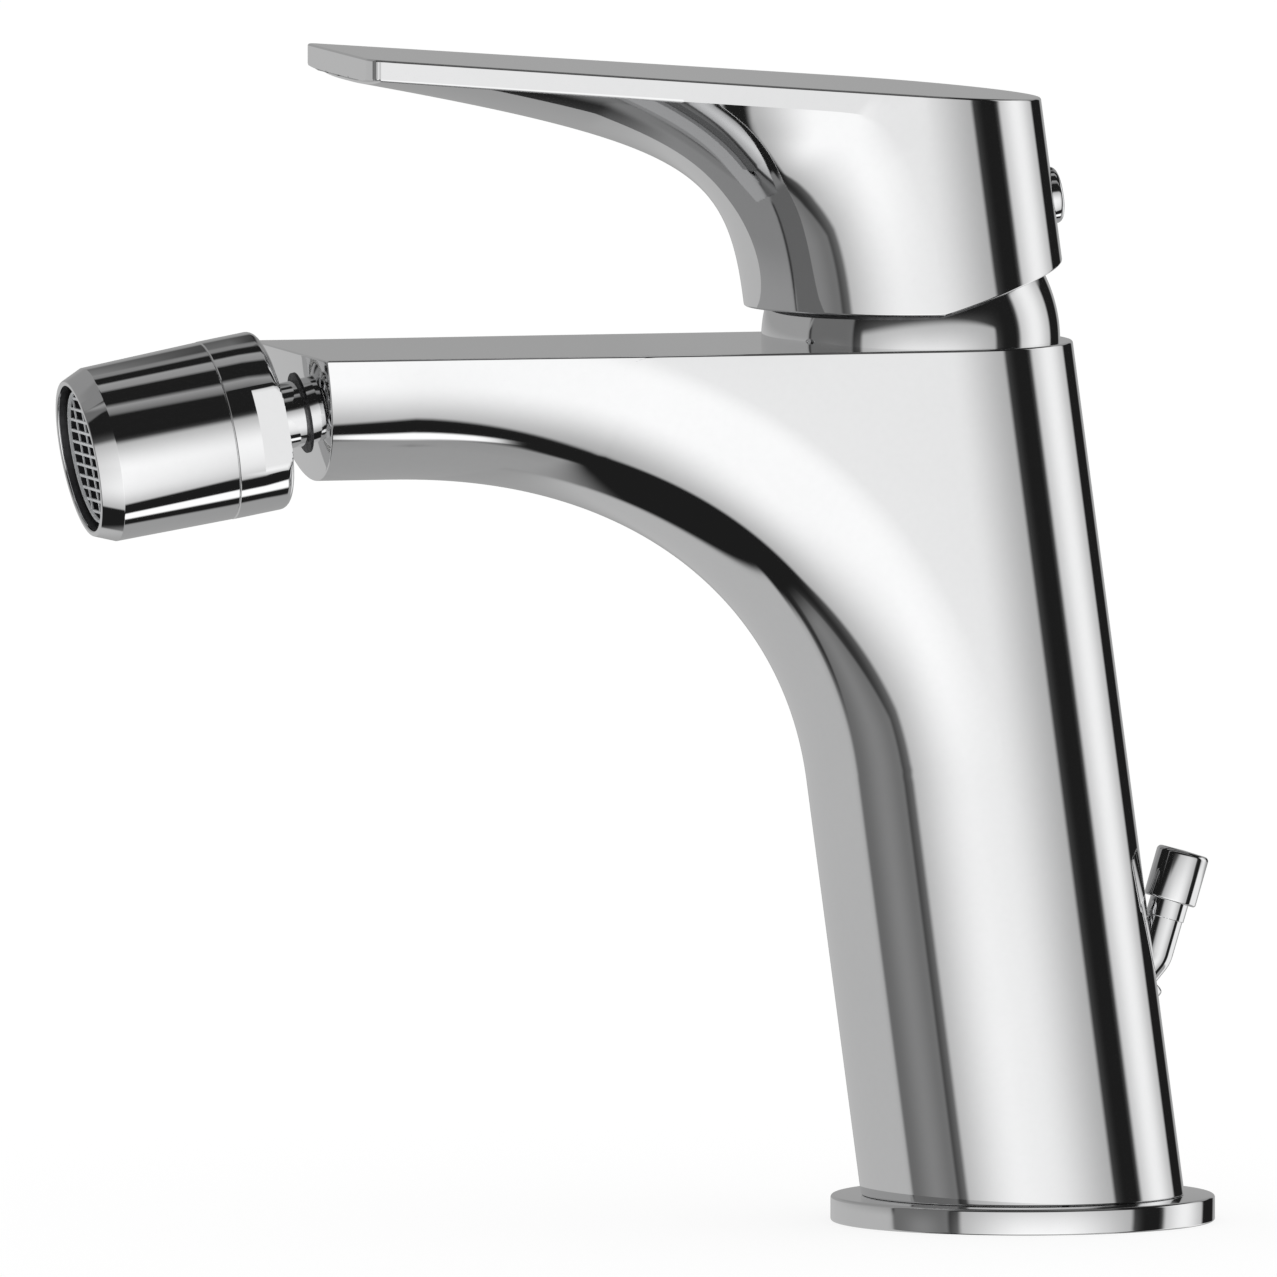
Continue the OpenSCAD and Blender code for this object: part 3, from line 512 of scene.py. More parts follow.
@dataclass
class Column:
    """The leaning cylinder that the body and the lever hub share."""

    radius: float = 21.7
    lean: float = 7.7
    foot_z: float = 3.5
    top_z: float = 119.5

    def axis(self) -> Vector:
        """Direction of the leaning axis."""
        return Vector((-sind(self.lean), 0, cosd(self.lean)))

    def axis_x(self, z: float) -> float:
        """Place of the axis at a height."""
        return -(z - self.foot_z) * tand(self.lean)

    def front_x(self, z: float) -> float:
        """Place of the front of the cylinder at a height."""
        return self.axis_x(z) - self.radius / cosd(self.lean)

    def pivot(self) -> Vector:
        """Point of the axis at the flat top of the body."""
        return Vector((self.axis_x(self.top_z), 0, self.top_z))

    def frame(self) -> Matrix:
        """Frame with its origin at the pivot and its Z along the axis."""
        return Matrix.Translation(self.pivot()) @ Matrix.Rotation(-math.radians(self.lean), 4, "Y")

    def run_to_axis(self, x: float, z: float, angle: float) -> float:
        """Distance from a point of the middle plane to the plane across the axis.

        Args:
            x: Place of the point.
            z: Height of the point.
            angle: Direction of the run, from the vertical towards +X.

        Returns:
            The distance.
        """
        reach = x * cosd(self.lean) + (z - self.foot_z) * sind(self.lean)
        return -reach / sind(angle + self.lean)

    def slide(self, p: Vector, z0: float, k: float) -> Vector:
        """Moves a point along the axis to the plane z = z0 + k x.

        Args:
            p: The point.
            z0: Height of the plane at x = 0.
            k: Slope of the plane along X.

        Returns:
            The moved point.
        """
        run = (z0 + k * p.x - p.z) / (cosd(self.lean) + k * sind(self.lean))
        return p + run * self.axis()

    def back(self, steps: int) -> list[Vector]:
        """Points round the back of the cylinder at its foot, without the two ends.

        Args:
            steps: Parts of the half turn.

        Returns:
            The points, from the far side round to the near side.
        """
        turns = [90 - 180 * i / steps for i in range(1, steps)]
        return [Vector((self.radius * cosd(a) / cosd(self.lean), self.radius * sind(a), self.foot_z))
                for a in turns]


def section(start: tuple[float, float], angle: float, depth: float, half: float, end: float,
            steps: int) -> list[Vector]:
    """Section with a round-arc underside and straight sides, open at its end.

    A flat arc turns up a little more towards its edges.

    Args:
        start: Lowest point, in the middle plane.
        angle: Direction that the section runs in, from the vertical towards +X.
        depth: Depth of the arc.
        half: Half of the width.
        end: Length of the section.
        steps: Parts of each half of the arc.

    Returns:
        The points from the near side to the far side.
    """
    arc = 2 * math.degrees(math.atan2(depth, half))
    radius = half / sind(arc)
    tuck = max(0.0, EDGE_TUCK * (1 - arc / FLAT_ARC))
    short = end < depth + ARC_GAP
    full = math.degrees(math.acos(1 - end / radius)) if end < depth else arc
    points = []
    for j in range(-steps - 1, steps + 2):
        last = abs(j) > steps
        turn = full * j / (steps + 1 if short else steps)
        wide = math.copysign(half, j) if last and not short else radius * sind(turn)
        deep = end if last else radius * (1 - cosd(turn)) * (abs(wide) / half) ** tuck
        points.append(Vector((start[0] + deep * sind(angle), wide, start[1] + deep * cosd(angle))))
    return points


def on_ball(radius: float, up: float, turn: float) -> Vector:
    """Point of a ball round the origin, from its angles in radians."""
    return radius * Vector((
        math.cos(up) * math.cos(turn), math.cos(up) * math.sin(turn), math.sin(up)))


def bisect(test: Callable[[float], bool], low: float, high: float) -> float:
    """Place between two numbers where a test changes.

    Args:
        test: Function of one number that is true at low and false at high.
        low: One end.
        high: Other end.

    Returns:
        The place of the change.
    """
    for _ in range(HALVINGS):
        middle = (low + high) / 2
        low, high = (middle, high) if test(middle) else (low, middle)
    return (low + high) / 2


class FanSolid:
    """Solid of fanned sections: the first ones end on a flat top, the rest on the round back."""

    def __init__(self, column: Column, loops: list[list[Vector]], corner: int,
                 top: tuple[float, float], foot: tuple[float, float], back_steps: int,
                 hole: Sequence[Vector] = ()) -> None:
        """Adds the front, the top and the back to a new surface.

        Args:
            column: Cylinder of the round back.
            loops: Sections from the free end to the foot.
            corner: Number of the section where the top meets the back.
            top: Height at x = 0 and slope of the top.
            foot: Height at x = 0 and slope of the foot of the back.
            back_steps: Parts of the round back, an even number.
            hole: Round opening in the top, from its back along the near side to its front and on round.
        """
        self.surface = Surface()
        rows = [self.surface.row(loop) for loop in loops]
        for low, high in zip(rows, rows[1:]):
            self.surface.strip(low, high)
        tall = loops[corner][0].z - loops[-1][0].z
        behind = []
        for loop, row in zip(loops[corner:], rows[corner:]):
            share = (loops[corner][0].z - loop[0].z) / tall
            points = [column.slide(p, *top).lerp(column.slide(p, *foot), share)
                      for p in column.back(back_steps)]
            behind.append([row[-1]] + self.surface.row(points) + [row[0]])
        for low, high in zip(behind, behind[1:]):
            self.surface.strip(low, high)
        near = [row[0] for row in rows[:corner]]
        far = [row[-1] for row in rows[:corner]]
        edge = behind[0][::-1]
        self.hole = self.surface.row(hole)
        if self.hole:
            middle = self.surface.row([(loops[0][0] + loops[0][-1]) / 2])
            half, turn = len(edge) // 2, len(hole) // 2
            self.surface.faces += [
                middle + near + edge[:half + 1] + self.hole[:turn + 1],
                middle + self.hole[turn:] + self.hole[:1] + edge[half:] + far[::-1], rows[0] + middle]
        else:
            self.surface.faces += [near + edge + far[::-1], rows[0]]
        self.rim = rows[-1] + behind[-1][1:-1]


@dataclass
class BodyCasting:
    """Leaning body with its flat-topped spout."""

    column: Column = field(default_factory=Column)
    spout_depth: float = 17.6
    reach: float = 102.0
    nose_tilt: float = 10.5
    nose_round: float = 0.2
    arch_rx: float = 59.8
    arch_rz: float = 50.4
    arch_power: float = 2.2
    cavity_r: float = 18.4
    cavity_top: float = 66.0
    well_r: float = 17.0
    well_l: float = 40.0
    edge: float = 0.3
    round_steps: int = 40
    arch_steps: int = 48
    nose_steps: int = 5
    back_steps: int = 72
    well_steps: int = 72

    def __post_init__(self) -> None:
        """Places the arch so that it runs out on the front of the column."""
        self.arch_x, self.arch_z = 0.0, self.column.top_z - self.spout_depth - self.arch_rz
        x, z = self.arch(90 - self.column.lean)
        self.arch_x = self.column.front_x(z) - x

    def arch(self, angle: float) -> tuple[float, float]:
        """Point of the arch whose normal has this angle from the vertical.

        Args:
            angle: 0 at the spout and 90 less the lean at the column.

        Returns:
            The point in the middle plane.
        """
        power = self.arch_power
        ratio = (tand(angle) * self.arch_rx / self.arch_rz) ** (1 / (power - 1))
        high = (1 + ratio ** power) ** (-1 / power)
        return (self.arch_x + self.arch_rx * ratio * high, self.arch_z + self.arch_rz * high)

    def to_top(self, angle: float) -> float:
        """Length of a section up to the flat top."""
        return (self.column.top_z - self.arch(angle)[1]) / cosd(angle)

    def to_axis(self, angle: float) -> float:
        """Length of a section up to the plane across the axis."""
        return self.column.run_to_axis(*self.arch(angle), angle)

    def arch_loop(self, angle: float) -> list[Vector]:
        """Section of the body at an angle of the arch."""
        return section(self.arch(angle), angle, self.column.radius, self.column.radius,
                       min(self.to_top(angle), self.to_axis(angle)), self.round_steps)

    def nose_x(self, z: float) -> float:
        """Place of the tilted nose face at a height."""
        return -self.reach + (self.column.top_z - z) * tand(self.nose_tilt)

    def nose_loop(self, turn: float) -> list[Vector]:
        """Section in the rounding of the nose.

        Args:
            turn: 90 at the nose face and 0 where the rounding leaves the spout.

        Returns:
            The section.
        """
        inset = self.nose_round * (1 - cosd(turn))
        behind = self.nose_round * (1 - sind(turn)) / cosd(self.nose_tilt)
        radius = self.column.radius - inset
        low = self.column.top_z - self.spout_depth + inset
        loop = section((0, low), 0, radius, radius, self.spout_depth - inset, self.round_steps)
        return [Vector((self.nose_x(p.z) + behind, p.y, p.z)) for p in loop]

    def build(self) -> None:
        """Makes the body and lets it stand for the casting."""
        meet = bisect(lambda a: self.to_axis(a) > self.to_top(a), 1.0, 80.0)
        last = 90 - self.column.lean
        angles = [meet * i / self.arch_steps for i in range(self.arch_steps + 1)]
        angles += [meet + (last - meet) * i / self.arch_steps for i in range(1, self.arch_steps + 1)]
        loops = [self.nose_loop(90 - 90 * i / self.nose_steps) for i in range(self.nose_steps + 1)]
        corner = len(loops) + self.arch_steps
        loops += [self.arch_loop(angle) for angle in angles]
        foot_z = self.column.foot_z
        loops.append([self.column.slide(p, foot_z, 0) for p in loops[-1]])
        pivot = self.column.pivot()
        turns = [360 * k / self.well_steps for k in range(self.well_steps)]
        hole = [pivot + self.well_r * Vector((cosd(a) / cosd(self.column.lean), -sind(a), 0))
                for a in turns]
        solid = FanSolid(self.column, loops, corner, (self.column.top_z, 0), (foot_z, 0),
                         self.back_steps, hole)
        self._hollow(solid)
        piece = solid.surface.piece("body_shell", edge=self.edge)
        dress(piece, "fixed_body", "body_casting", Finishes.CHROME, Finishes.CASTING_AND_PAINTED_SHADE)

    def _hollow(self, solid: FanSolid) -> None:
        """Adds the well of the cartridge, and opens the foot into the hollow of the column.

        Args:
            solid: The body, with an open foot and a hole in its top.
        """
        column = self.column
        first = len(solid.surface.faces)
        shape, axis = solid.surface, column.axis()
        floor = shape.row(shape.points[i] - axis * self.well_l for i in solid.hole)
        shape.skin([solid.hole, floor])
        shape.faces.append(floor)
        share = self.cavity_r / column.radius
        centre = Vector((0, 0, column.foot_z))
        low = [centre + (shape.points[i] - centre) * share for i in solid.rim]
        low_row, high_row = shape.row(low), shape.row(p + axis * self.cavity_top for p in low)
        shape.skin([solid.rim, low_row, high_row])
        shape.faces.append(high_row)
        shape.mark_from(first)


@dataclass
class BaseRing:
    """Round ring that the column stands on."""

    radius: float = 26.0
    bore: float = 16.4
    height: float = 3.5
    edge: float = 0.4
    foot_edge: float = 0.3
    parts: int = 256

    def build(self) -> None:
        """Makes the ring."""
        shape = Surface()
        shape.spin(rounded([
            (self.bore, 0.0, 0), (self.radius, 0.0, self.foot_edge),
            (self.radius, self.height, self.edge), (self.bore, self.height, 0),
            (self.bore, 0.0, 0)])[:-1], self.parts, loop=True)
        dress(shape.piece("foot_ring"), "fixed_body", "base_ring", Finishes.CHROME)


@dataclass
class DomeCover:
    """Spherical cover between the body and the lever hub."""

    column: Column = field(default_factory=Column)
    radius: float = 20.2
    wall: float = 1.3
    opening: float = 12.5
    parts: int = 192
    steps: int = 40

    def build(self) -> None:
        """Makes the cover as a shell of two spheres."""
        shape = Surface()
        rows = []
        for radius, order in ((self.radius, 1), (self.radius - self.wall, -1)):
            shell = [self._row(radius, i / self.steps) for i in range(self.steps + 1)]
            rows += [shape.row(row) for row in shell[::order]]
        shape.skin(rows, loop=True)
        piece = shape.piece("dome_skin", self.column.frame())
        dress(piece, "fixed_body", "dome_cover", Finishes.CHROME)

    def _row(self, radius: float, share: float) -> list[Vector]:
        """Ring of one sphere between the body and the opening.

        Args:
            radius: Radius of the sphere.
            share: Share of the way up from the body.

        Returns:
            The points of the ring.
        """
        points = []
        high = math.asin(self.opening / radius)
        for k in range(self.parts):
            turn = math.tau * k / self.parts
            low = -math.atan(math.cos(turn) * tand(self.column.lean))
            up = low + (high - low) * share
            points.append(on_ball(radius, up, turn))
        return points


@dataclass
class LeverHandle:
    """Lever with its round hub and its flat blade."""

    column: Column = field(default_factory=Column)
    rim_gap: float = 4.7
    rim_slope: float = 16.5
    hub_lead: float = 1.3
    top_rise: float = 34.2
    slope: float = 4.4
    reach: float = 95.4
    tip_half: float = 18.75
    band: float = 2.9
    tip_belly: float = 0.8
    belly_slope: float = 11.0
    belly_pull: float = 0.89
    belly_blend: float = 16.0
    tip_round: float = 1.5
    tip_inset: float = 2.6
    hollow_r: float = 20.9
    edge: float = 0.3
    blade_steps: int = 60
    hub_steps: int = 44
    round_steps: int = 44
    back_steps: int = 72
    tip_steps: int = 12
    hollow_steps: int = 14
    crease: float = 8.0
    tip_lift: float = 0.5

    def __post_init__(self) -> None:
        """Works out the ends and the handles of the underside curve."""
        column = self.column
        self.rim_z = column.top_z + self.rim_gap
        self.tip = Vector((-self.reach, self.top_z(-self.reach) - self.band - self.tip_belly))
        lead_z = self.rim_z + self.hub_lead
        self.hub = Vector((column.front_x(lead_z), lead_z))
        lean_k, belly_k = tand(column.lean), tand(self.belly_slope)
        meet_x = (-(self.tip.y - column.foot_z) * lean_k - belly_k * lean_k * self.tip.x
                  - column.radius / cosd(column.lean)) / (1 - belly_k * lean_k)
        self.meet = Vector((meet_x, self.tip.y - belly_k * (meet_x - self.tip.x)))
        self.hub_handle = self.hub.lerp(self.meet, self.belly_pull)
        self.tip_handle = self.tip.lerp(self.meet, self.belly_pull)

    def top_z(self, x: float) -> float:
        """Height of the flat top at a place."""
        return self.column.top_z + self.top_rise - (x - self.column.pivot().x) * tand(self.slope)

    def belly(self, t: float) -> Vector:
        """Point of the underside: 0 at the hub and 1 at the tip."""
        s = 1 - t
        return (s ** 3 * self.hub + 3 * t * s * s * self.hub_handle
                + 3 * t * t * s * self.tip_handle + t ** 3 * self.tip)

    def angle(self, t: float) -> float:
        """Direction of the section at a point of the underside.

        Args:
            t: 0 at the hub and 1 at the tip.

        Returns:
            The angle from the vertical.
        """
        s = 1 - t
        along = (s * s * (self.hub_handle - self.hub) + 2 * t * s * (self.tip_handle - self.hub_handle)
                 + t * t * (self.tip - self.tip_handle))
        steep = math.degrees(math.atan2(along.y, -along.x))
        upright = 90 - self.column.lean
        return (steep - self.belly_slope) * upright / (upright - self.belly_slope)

    def to_top(self, t: float, drop: float = 0.0) -> float:
        """Length of a section up to the top, less a drop."""
        low, angle = self.belly(t), self.angle(t)
        return (self.top_z(low.x) - drop - low.y) / (cosd(angle) + tand(self.slope) * sind(angle))

    def to_axis(self, t: float) -> float:
        """Length of a section up to the plane across the axis."""
        return self.column.run_to_axis(*self.belly(t), self.angle(t))

    def half(self, t: float) -> float:
        """Half width of the lever."""
        taper = max(0.0, (self.belly(t).x - self.meet.x) / (self.tip.x - self.meet.x))
        return self.column.radius - (self.column.radius - self.tip_half) * taper

    def depth(self, t: float) -> float:
        """Depth of the rounded underside."""
        power = self.belly_blend
        return (self.column.radius ** -power + self.to_top(t, self.band) ** -power) ** (-1 / power)

    def loop(self, t: float) -> list[Vector]:
        """Section of the lever at a point of the underside."""
        return section(tuple(self.belly(t)), self.angle(t), self.depth(t), self.half(t),
                       min(self.to_top(t), self.to_axis(t)), self.round_steps)

    def tip_loop(self, turn: float) -> list[Vector]:
        """Section in the rounding of the tip.

        Args:
            turn: 90 at the tip face and 0 where the rounding leaves the blade.

        Returns:
            The section.
        """
        inset = self.tip_inset * (1 - cosd(turn))
        x = -self.reach + self.tip_round * (1 - sind(turn))
        lift = min(inset, self.tip_lift * self.tip_belly)
        low = self.tip.y + lift
        return section((x, low), 0, self.tip_belly - lift, self.half(1.0) - inset,
                       self.top_z(x) - low, self.round_steps)

    def build(self) -> None:
        """Makes the lever and its hollow hub."""
        column = self.column
        meet = bisect(lambda t: self.to_axis(t) < self.to_top(t), 0.02, 0.9)
        start = bisect(lambda t: self.belly(t).x > self.tip.x + self.tip_round, 0.2, 1.0)
        stations = [start + (meet - start) * (i / self.blade_steps)
                    for i in range(self.blade_steps + 1)]
        stations += [meet * (1 - i / self.hub_steps) for i in range(1, self.hub_steps + 1)]
        loops = [self.tip_loop(90 - 90 * i / self.tip_steps) for i in range(self.tip_steps)]
        corner = len(loops) + self.blade_steps
        loops += [self.loop(t) for t in stations]
        loops.append([column.slide(p, self.rim_z, 0) for p in loops[-1]])
        rim_k = tand(self.rim_slope)
        solid = FanSolid(column, loops, corner, (self.top_z(0), -tand(self.slope)),
                         (self.rim_z - rim_k * column.axis_x(self.rim_z), rim_k), self.back_steps)
        self._hollow(solid)
        piece = solid.surface.piece("lever_shell", crease=self.crease, edge=self.edge)
        # the marked rim underside and hub hollow take the dark finish, painted shade under the rim and
        # inside the hub
        dress(piece, "lever", "lever_handle", Finishes.CHROME, Finishes.CASTING_AND_PAINTED_SHADE)

    def _hollow(self, solid: FanSolid) -> None:
        """Closes the rim with the round hollow of the hub; the rim's underside and the hollow take the
        dark finish as painted shade.

        Args:
            solid: The lever, with an open rim.
        """
        first = len(solid.surface.faces)
        frame = self.column.frame()
        back = frame.inverted()
        rim = [back @ solid.surface.points[i] for i in solid.rim]
        rows = [solid.rim]
        for i in range(self.hollow_steps):
            ring = []
            for p in rim:
                low = math.asin(p.z / self.hollow_r)
                up = low + (math.pi / 2 - low) * i / self.hollow_steps
                ring.append(frame @ on_ball(self.hollow_r, up, math.atan2(p.y, p.x)))
            rows.append(solid.surface.row(ring))
        rows.append(solid.surface.row([frame @ Vector((0, 0, self.hollow_r))]))
        solid.surface.skin(rows)
        # painted shade: the underside of the rim and the inside of the hub get the dark dull finish
        solid.surface.mark_from(first)


@dataclass
class IndexButton:
    """Round plug at the back of the lever hub."""

    column: Column = field(default_factory=Column)
    up: float = 16.5
    radius: float = 3.85
    seat: float = 1.2
    out: float = 1.2
    crown: float = 0.12
    edge: float = 0.7
    seat_edge: float = 0.1
    shank_r: float = 2.5
    shank_l: float = 5.0
    shank_edge: float = 0.2
    parts: int = 96

    def build(self) -> None:
        """Makes the plug with its shank."""
        shape = Surface()
        face = self.seat + self.out
        shape.spin(rounded([
            (0.0, -self.shank_l, 0), (self.shank_r, -self.shank_l, self.shank_edge),
            (self.shank_r, 0.0, 0), (self.radius, 0.0, self.seat_edge),
            (self.radius, face, self.edge), (0.0, face + self.crown, 0)]), self.parts)
        place = self.column.frame() @ Matrix.Translation(
            (self.column.radius - self.seat, 0, self.up)) @ Matrix.Rotation(math.pi / 2, 4, "Y")
        dress(shape.piece("index_button", place), "lever", "index_plug", Finishes.CHROME)


@dataclass
class BallNozzle:
    """Nozzle on a ball joint, measured from the nose face along its axis."""

    nose: Vector = field(default_factory=lambda: Vector((-100.443, 0, 111.1)))
    tilt: float = 10.5
    ball_r: float = 8.0
    ball_out: float = 9.9
    neck_r: float = 4.5
    flange_r: float = 5.5
    shank_r: float = 5.0
    bore: float = 2.8
    flange_l: float = 0.2
    start: float = 4.4
    collar_l: float = 7.8
    length: float = 26.9
    collar_r: float = 12.2
    mouth_r: float = 6.7
    flats_half: float = 10.8
    flats_l: float = 4.2
    front_r: float = 11.9
    rim_r: float = 10.65
    lip_r: float = 9.95
    bore_r: float = 10.0
    chamfer: float = 2.9
    recess: float = 2.1
    seat_l: float = 3.0
    ball_steps: int = 40
    mouth_step: float = 1.6
    mouth_l: float = 3.6
    mouth_lip: tuple[float, float] = (0.3, 0.6)
    collar_edge: float = 1.1
    seam_bevel: float = 0.15
    seam_gap: float = 0.05
    shell_edge: float = 0.25
    lip_l: float = 0.35
    comb_rim: tuple[float, float] = (8.7, 9.15)
    comb_rim_z: tuple[float, float] = (0.5, 0.9)
    comb_rim_edge: float = 0.15
    cup_r: float = 9.7
    cup_mouth: tuple[float, float] = (8.75, 9.1)
    cup_shoulder: float = 0.45
    cup_floor: tuple[float, float] = (2.6, 3.4)
    cup_foot: tuple[float, float] = (8.4, 5.6)
    bar: float = 0.36
    bars_r: float = 8.9
    bars_z: tuple[float, float] = (0.3, 0.55)
    bar_rows: tuple[int, float] = (11, 1.55)
    bar_columns: tuple[int, float] = (3, 4.4)
    column_sink: float = 0.03
    parts: int = 192
    inner_parts: int = 128

    def frame(self) -> Matrix:
        """Frame with its origin on the nose face and its Z along the nozzle."""
        return Matrix.Translation(self.nose) @ Matrix.Rotation(-math.radians(90 + self.tilt), 4, "Y")

    def build(self) -> None:
        """Makes the nipple, the collar, the shell and the outlet comb."""
        self._nipple()
        self._collar()
        self._shell()
        self._comb()

    def _nipple(self) -> None:
        """Makes the flange, the neck and the ball."""
        shape = Surface()
        join = math.acos(self.neck_r / self.ball_r)
        top = math.acos(self.bore / self.ball_r)
        steps = self.ball_steps
        line = [(self.neck_r, self.flange_l)]
        line += [(self.ball_r * math.cos(a), self.ball_out + self.ball_r * math.sin(a))
                 for a in (-join + (join + top) * i / steps for i in range(steps + 1))]
        line += [(self.bore, -self.seat_l), (self.shank_r, -self.seat_l), (self.shank_r, 0.0)]
        shape.spin(line, self.inner_parts)
        ring = len(shape.faces)
        shape.spin([(self.shank_r, 0.0), (self.flange_r, 0.0), (self.flange_r, self.flange_l),
                    (self.neck_r, self.flange_l)], self.inner_parts)
        shape.mark_from(ring)
        dress(shape.piece("nozzle_nipple", self.frame()), "fixed_body", "ball_nipple", Finishes.CHROME,
              Finishes.CASTING_AND_PAINTED_SHADE)

    def _collar(self) -> None:
        """Makes the rear collar, with a wrench flat on each side."""
        shape = Surface()
        end = self.start + self.collar_l
        flat_end = self.start + self.flats_l
        lip_r, lip_z = self.mouth_lip
        wide = self.mouth_r + self.mouth_step
        line = rounded([
            (wide, self.start + self.mouth_l, 0), (self.mouth_r, self.start + lip_z, 0.3),
            (self.mouth_r + lip_r, self.start, 0.2), (self.collar_r, self.start, self.collar_edge),
            (self.collar_r, flat_end, 0)])
        rear = len(line)
        line += [(self.collar_r, flat_end), (self.collar_r, end - self.seam_bevel),
                 (self.collar_r - self.seam_bevel, end), (wide, end)]
        rows = []
        for i, (radius, height) in enumerate(line):
            row = []
            for k in range(self.parts):
                x, y = radius * cosd(360 * k / self.parts), radius * sind(360 * k / self.parts)
                if i < rear:
                    y = max(-self.flats_half, min(self.flats_half, y))
                row.append(Vector((x, y, height)))
            rows.append(shape.row(row))
        shape.skin(rows, loop=True)
        dress(shape.piece("nozzle_rear_collar", self.frame(), crease=25), "nozzle", "nozzle_collar",
              Finishes.CHROME)

    def _shell(self) -> None:
        """Makes the front shell with its chamfered rim."""
        shape = Surface()
        seam = self.start + self.collar_l
        end = self.start + self.length
        seam_r = self.collar_r - self.seam_gap
        lip = end - self.lip_l
        soft = self.shell_edge
        shape.spin(rounded([
            (self.bore_r, seam, 0), (seam_r, seam, self.seam_bevel),
            (self.front_r, end - self.chamfer, soft), (self.rim_r, end, soft),
            (self.lip_r, end, soft), (self.lip_r, lip, 0)]), self.parts)
        inner = len(shape.faces)
        shape.spin([(self.lip_r, lip), (self.lip_r, end - self.recess), (self.bore_r, end - self.recess),
                    (self.bore_r, seam)], self.parts)
        shape.mark_from(inner)
        dress(shape.piece("nozzle_front_shell", self.frame()), "nozzle", "nozzle_shell", Finishes.CHROME,
              Finishes.CASTING_AND_PAINTED_SHADE)

    def _comb(self) -> None:
        """Makes the outlet insert: a dark cup and a light rim with a comb of thin bars."""
        front = self.start + self.length - self.recess
        shape = Surface()
        inner, outer = self.comb_rim
        low, high = (front + z for z in self.comb_rim_z)
        shape.spin(rounded([
            (inner, high, 0), (outer, high, self.comb_rim_edge), (outer, low, 0),
            (inner, low, 0), (inner, high, 0)])[:-1], self.inner_parts, loop=True)
        self._bars(shape, *(front + z for z in self.bars_z))
        dark = len(shape.faces)
        mouth_in, mouth_out = self.cup_mouth
        floor, under = (front - z for z in self.cup_floor)
        foot_r, foot = self.cup_foot[0], front - self.cup_foot[1]
        shape.spin([
            (self.cup_r, foot), (self.cup_r, front - self.cup_shoulder), (mouth_out, low),
            (mouth_in, low), (mouth_in, floor), (0.0, floor), (0.0, under), (foot_r, under),
            (foot_r, foot), (self.cup_r, foot)], self.inner_parts)
        shape.mark_from(dark)
        dress(shape.piece("outlet_comb", self.frame()), "nozzle", "outlet_insert", Finishes.GREY_COMB,
              Finishes.DARK_PLASTIC)

    def _bars(self, shape: Surface, low: float, high: float) -> None:
        """Adds a comb inside a circle: close bars one way and a few the other way.

        Args:
            shape: Surface that the comb joins.
            low: Depth of the back of the bars.
            high: Depth of their front.
        """
        for (count, pitch), upright, sink in (
                (self.bar_rows, False, 0.0), (self.bar_columns, True, self.column_sink)):
            for i in range(count):
                middle = (i - (count - 1) / 2) * pitch
                first, last = middle - self.bar / 2, middle + self.bar / 2
                half = math.sqrt(self.bars_r ** 2 - max(abs(first), abs(last)) ** 2)
                corners = [(first, -half), (last, -half), (last, half), (first, half)]
                if upright:
                    corners = [(x, y) for y, x in corners]
                bottom = shape.row(Vector((*c, low + sink)) for c in corners)
                top = shape.row(Vector((*c, high - sink)) for c in corners)
                shape.faces += [bottom, top]
                shape.strip(bottom, top, closed=True)


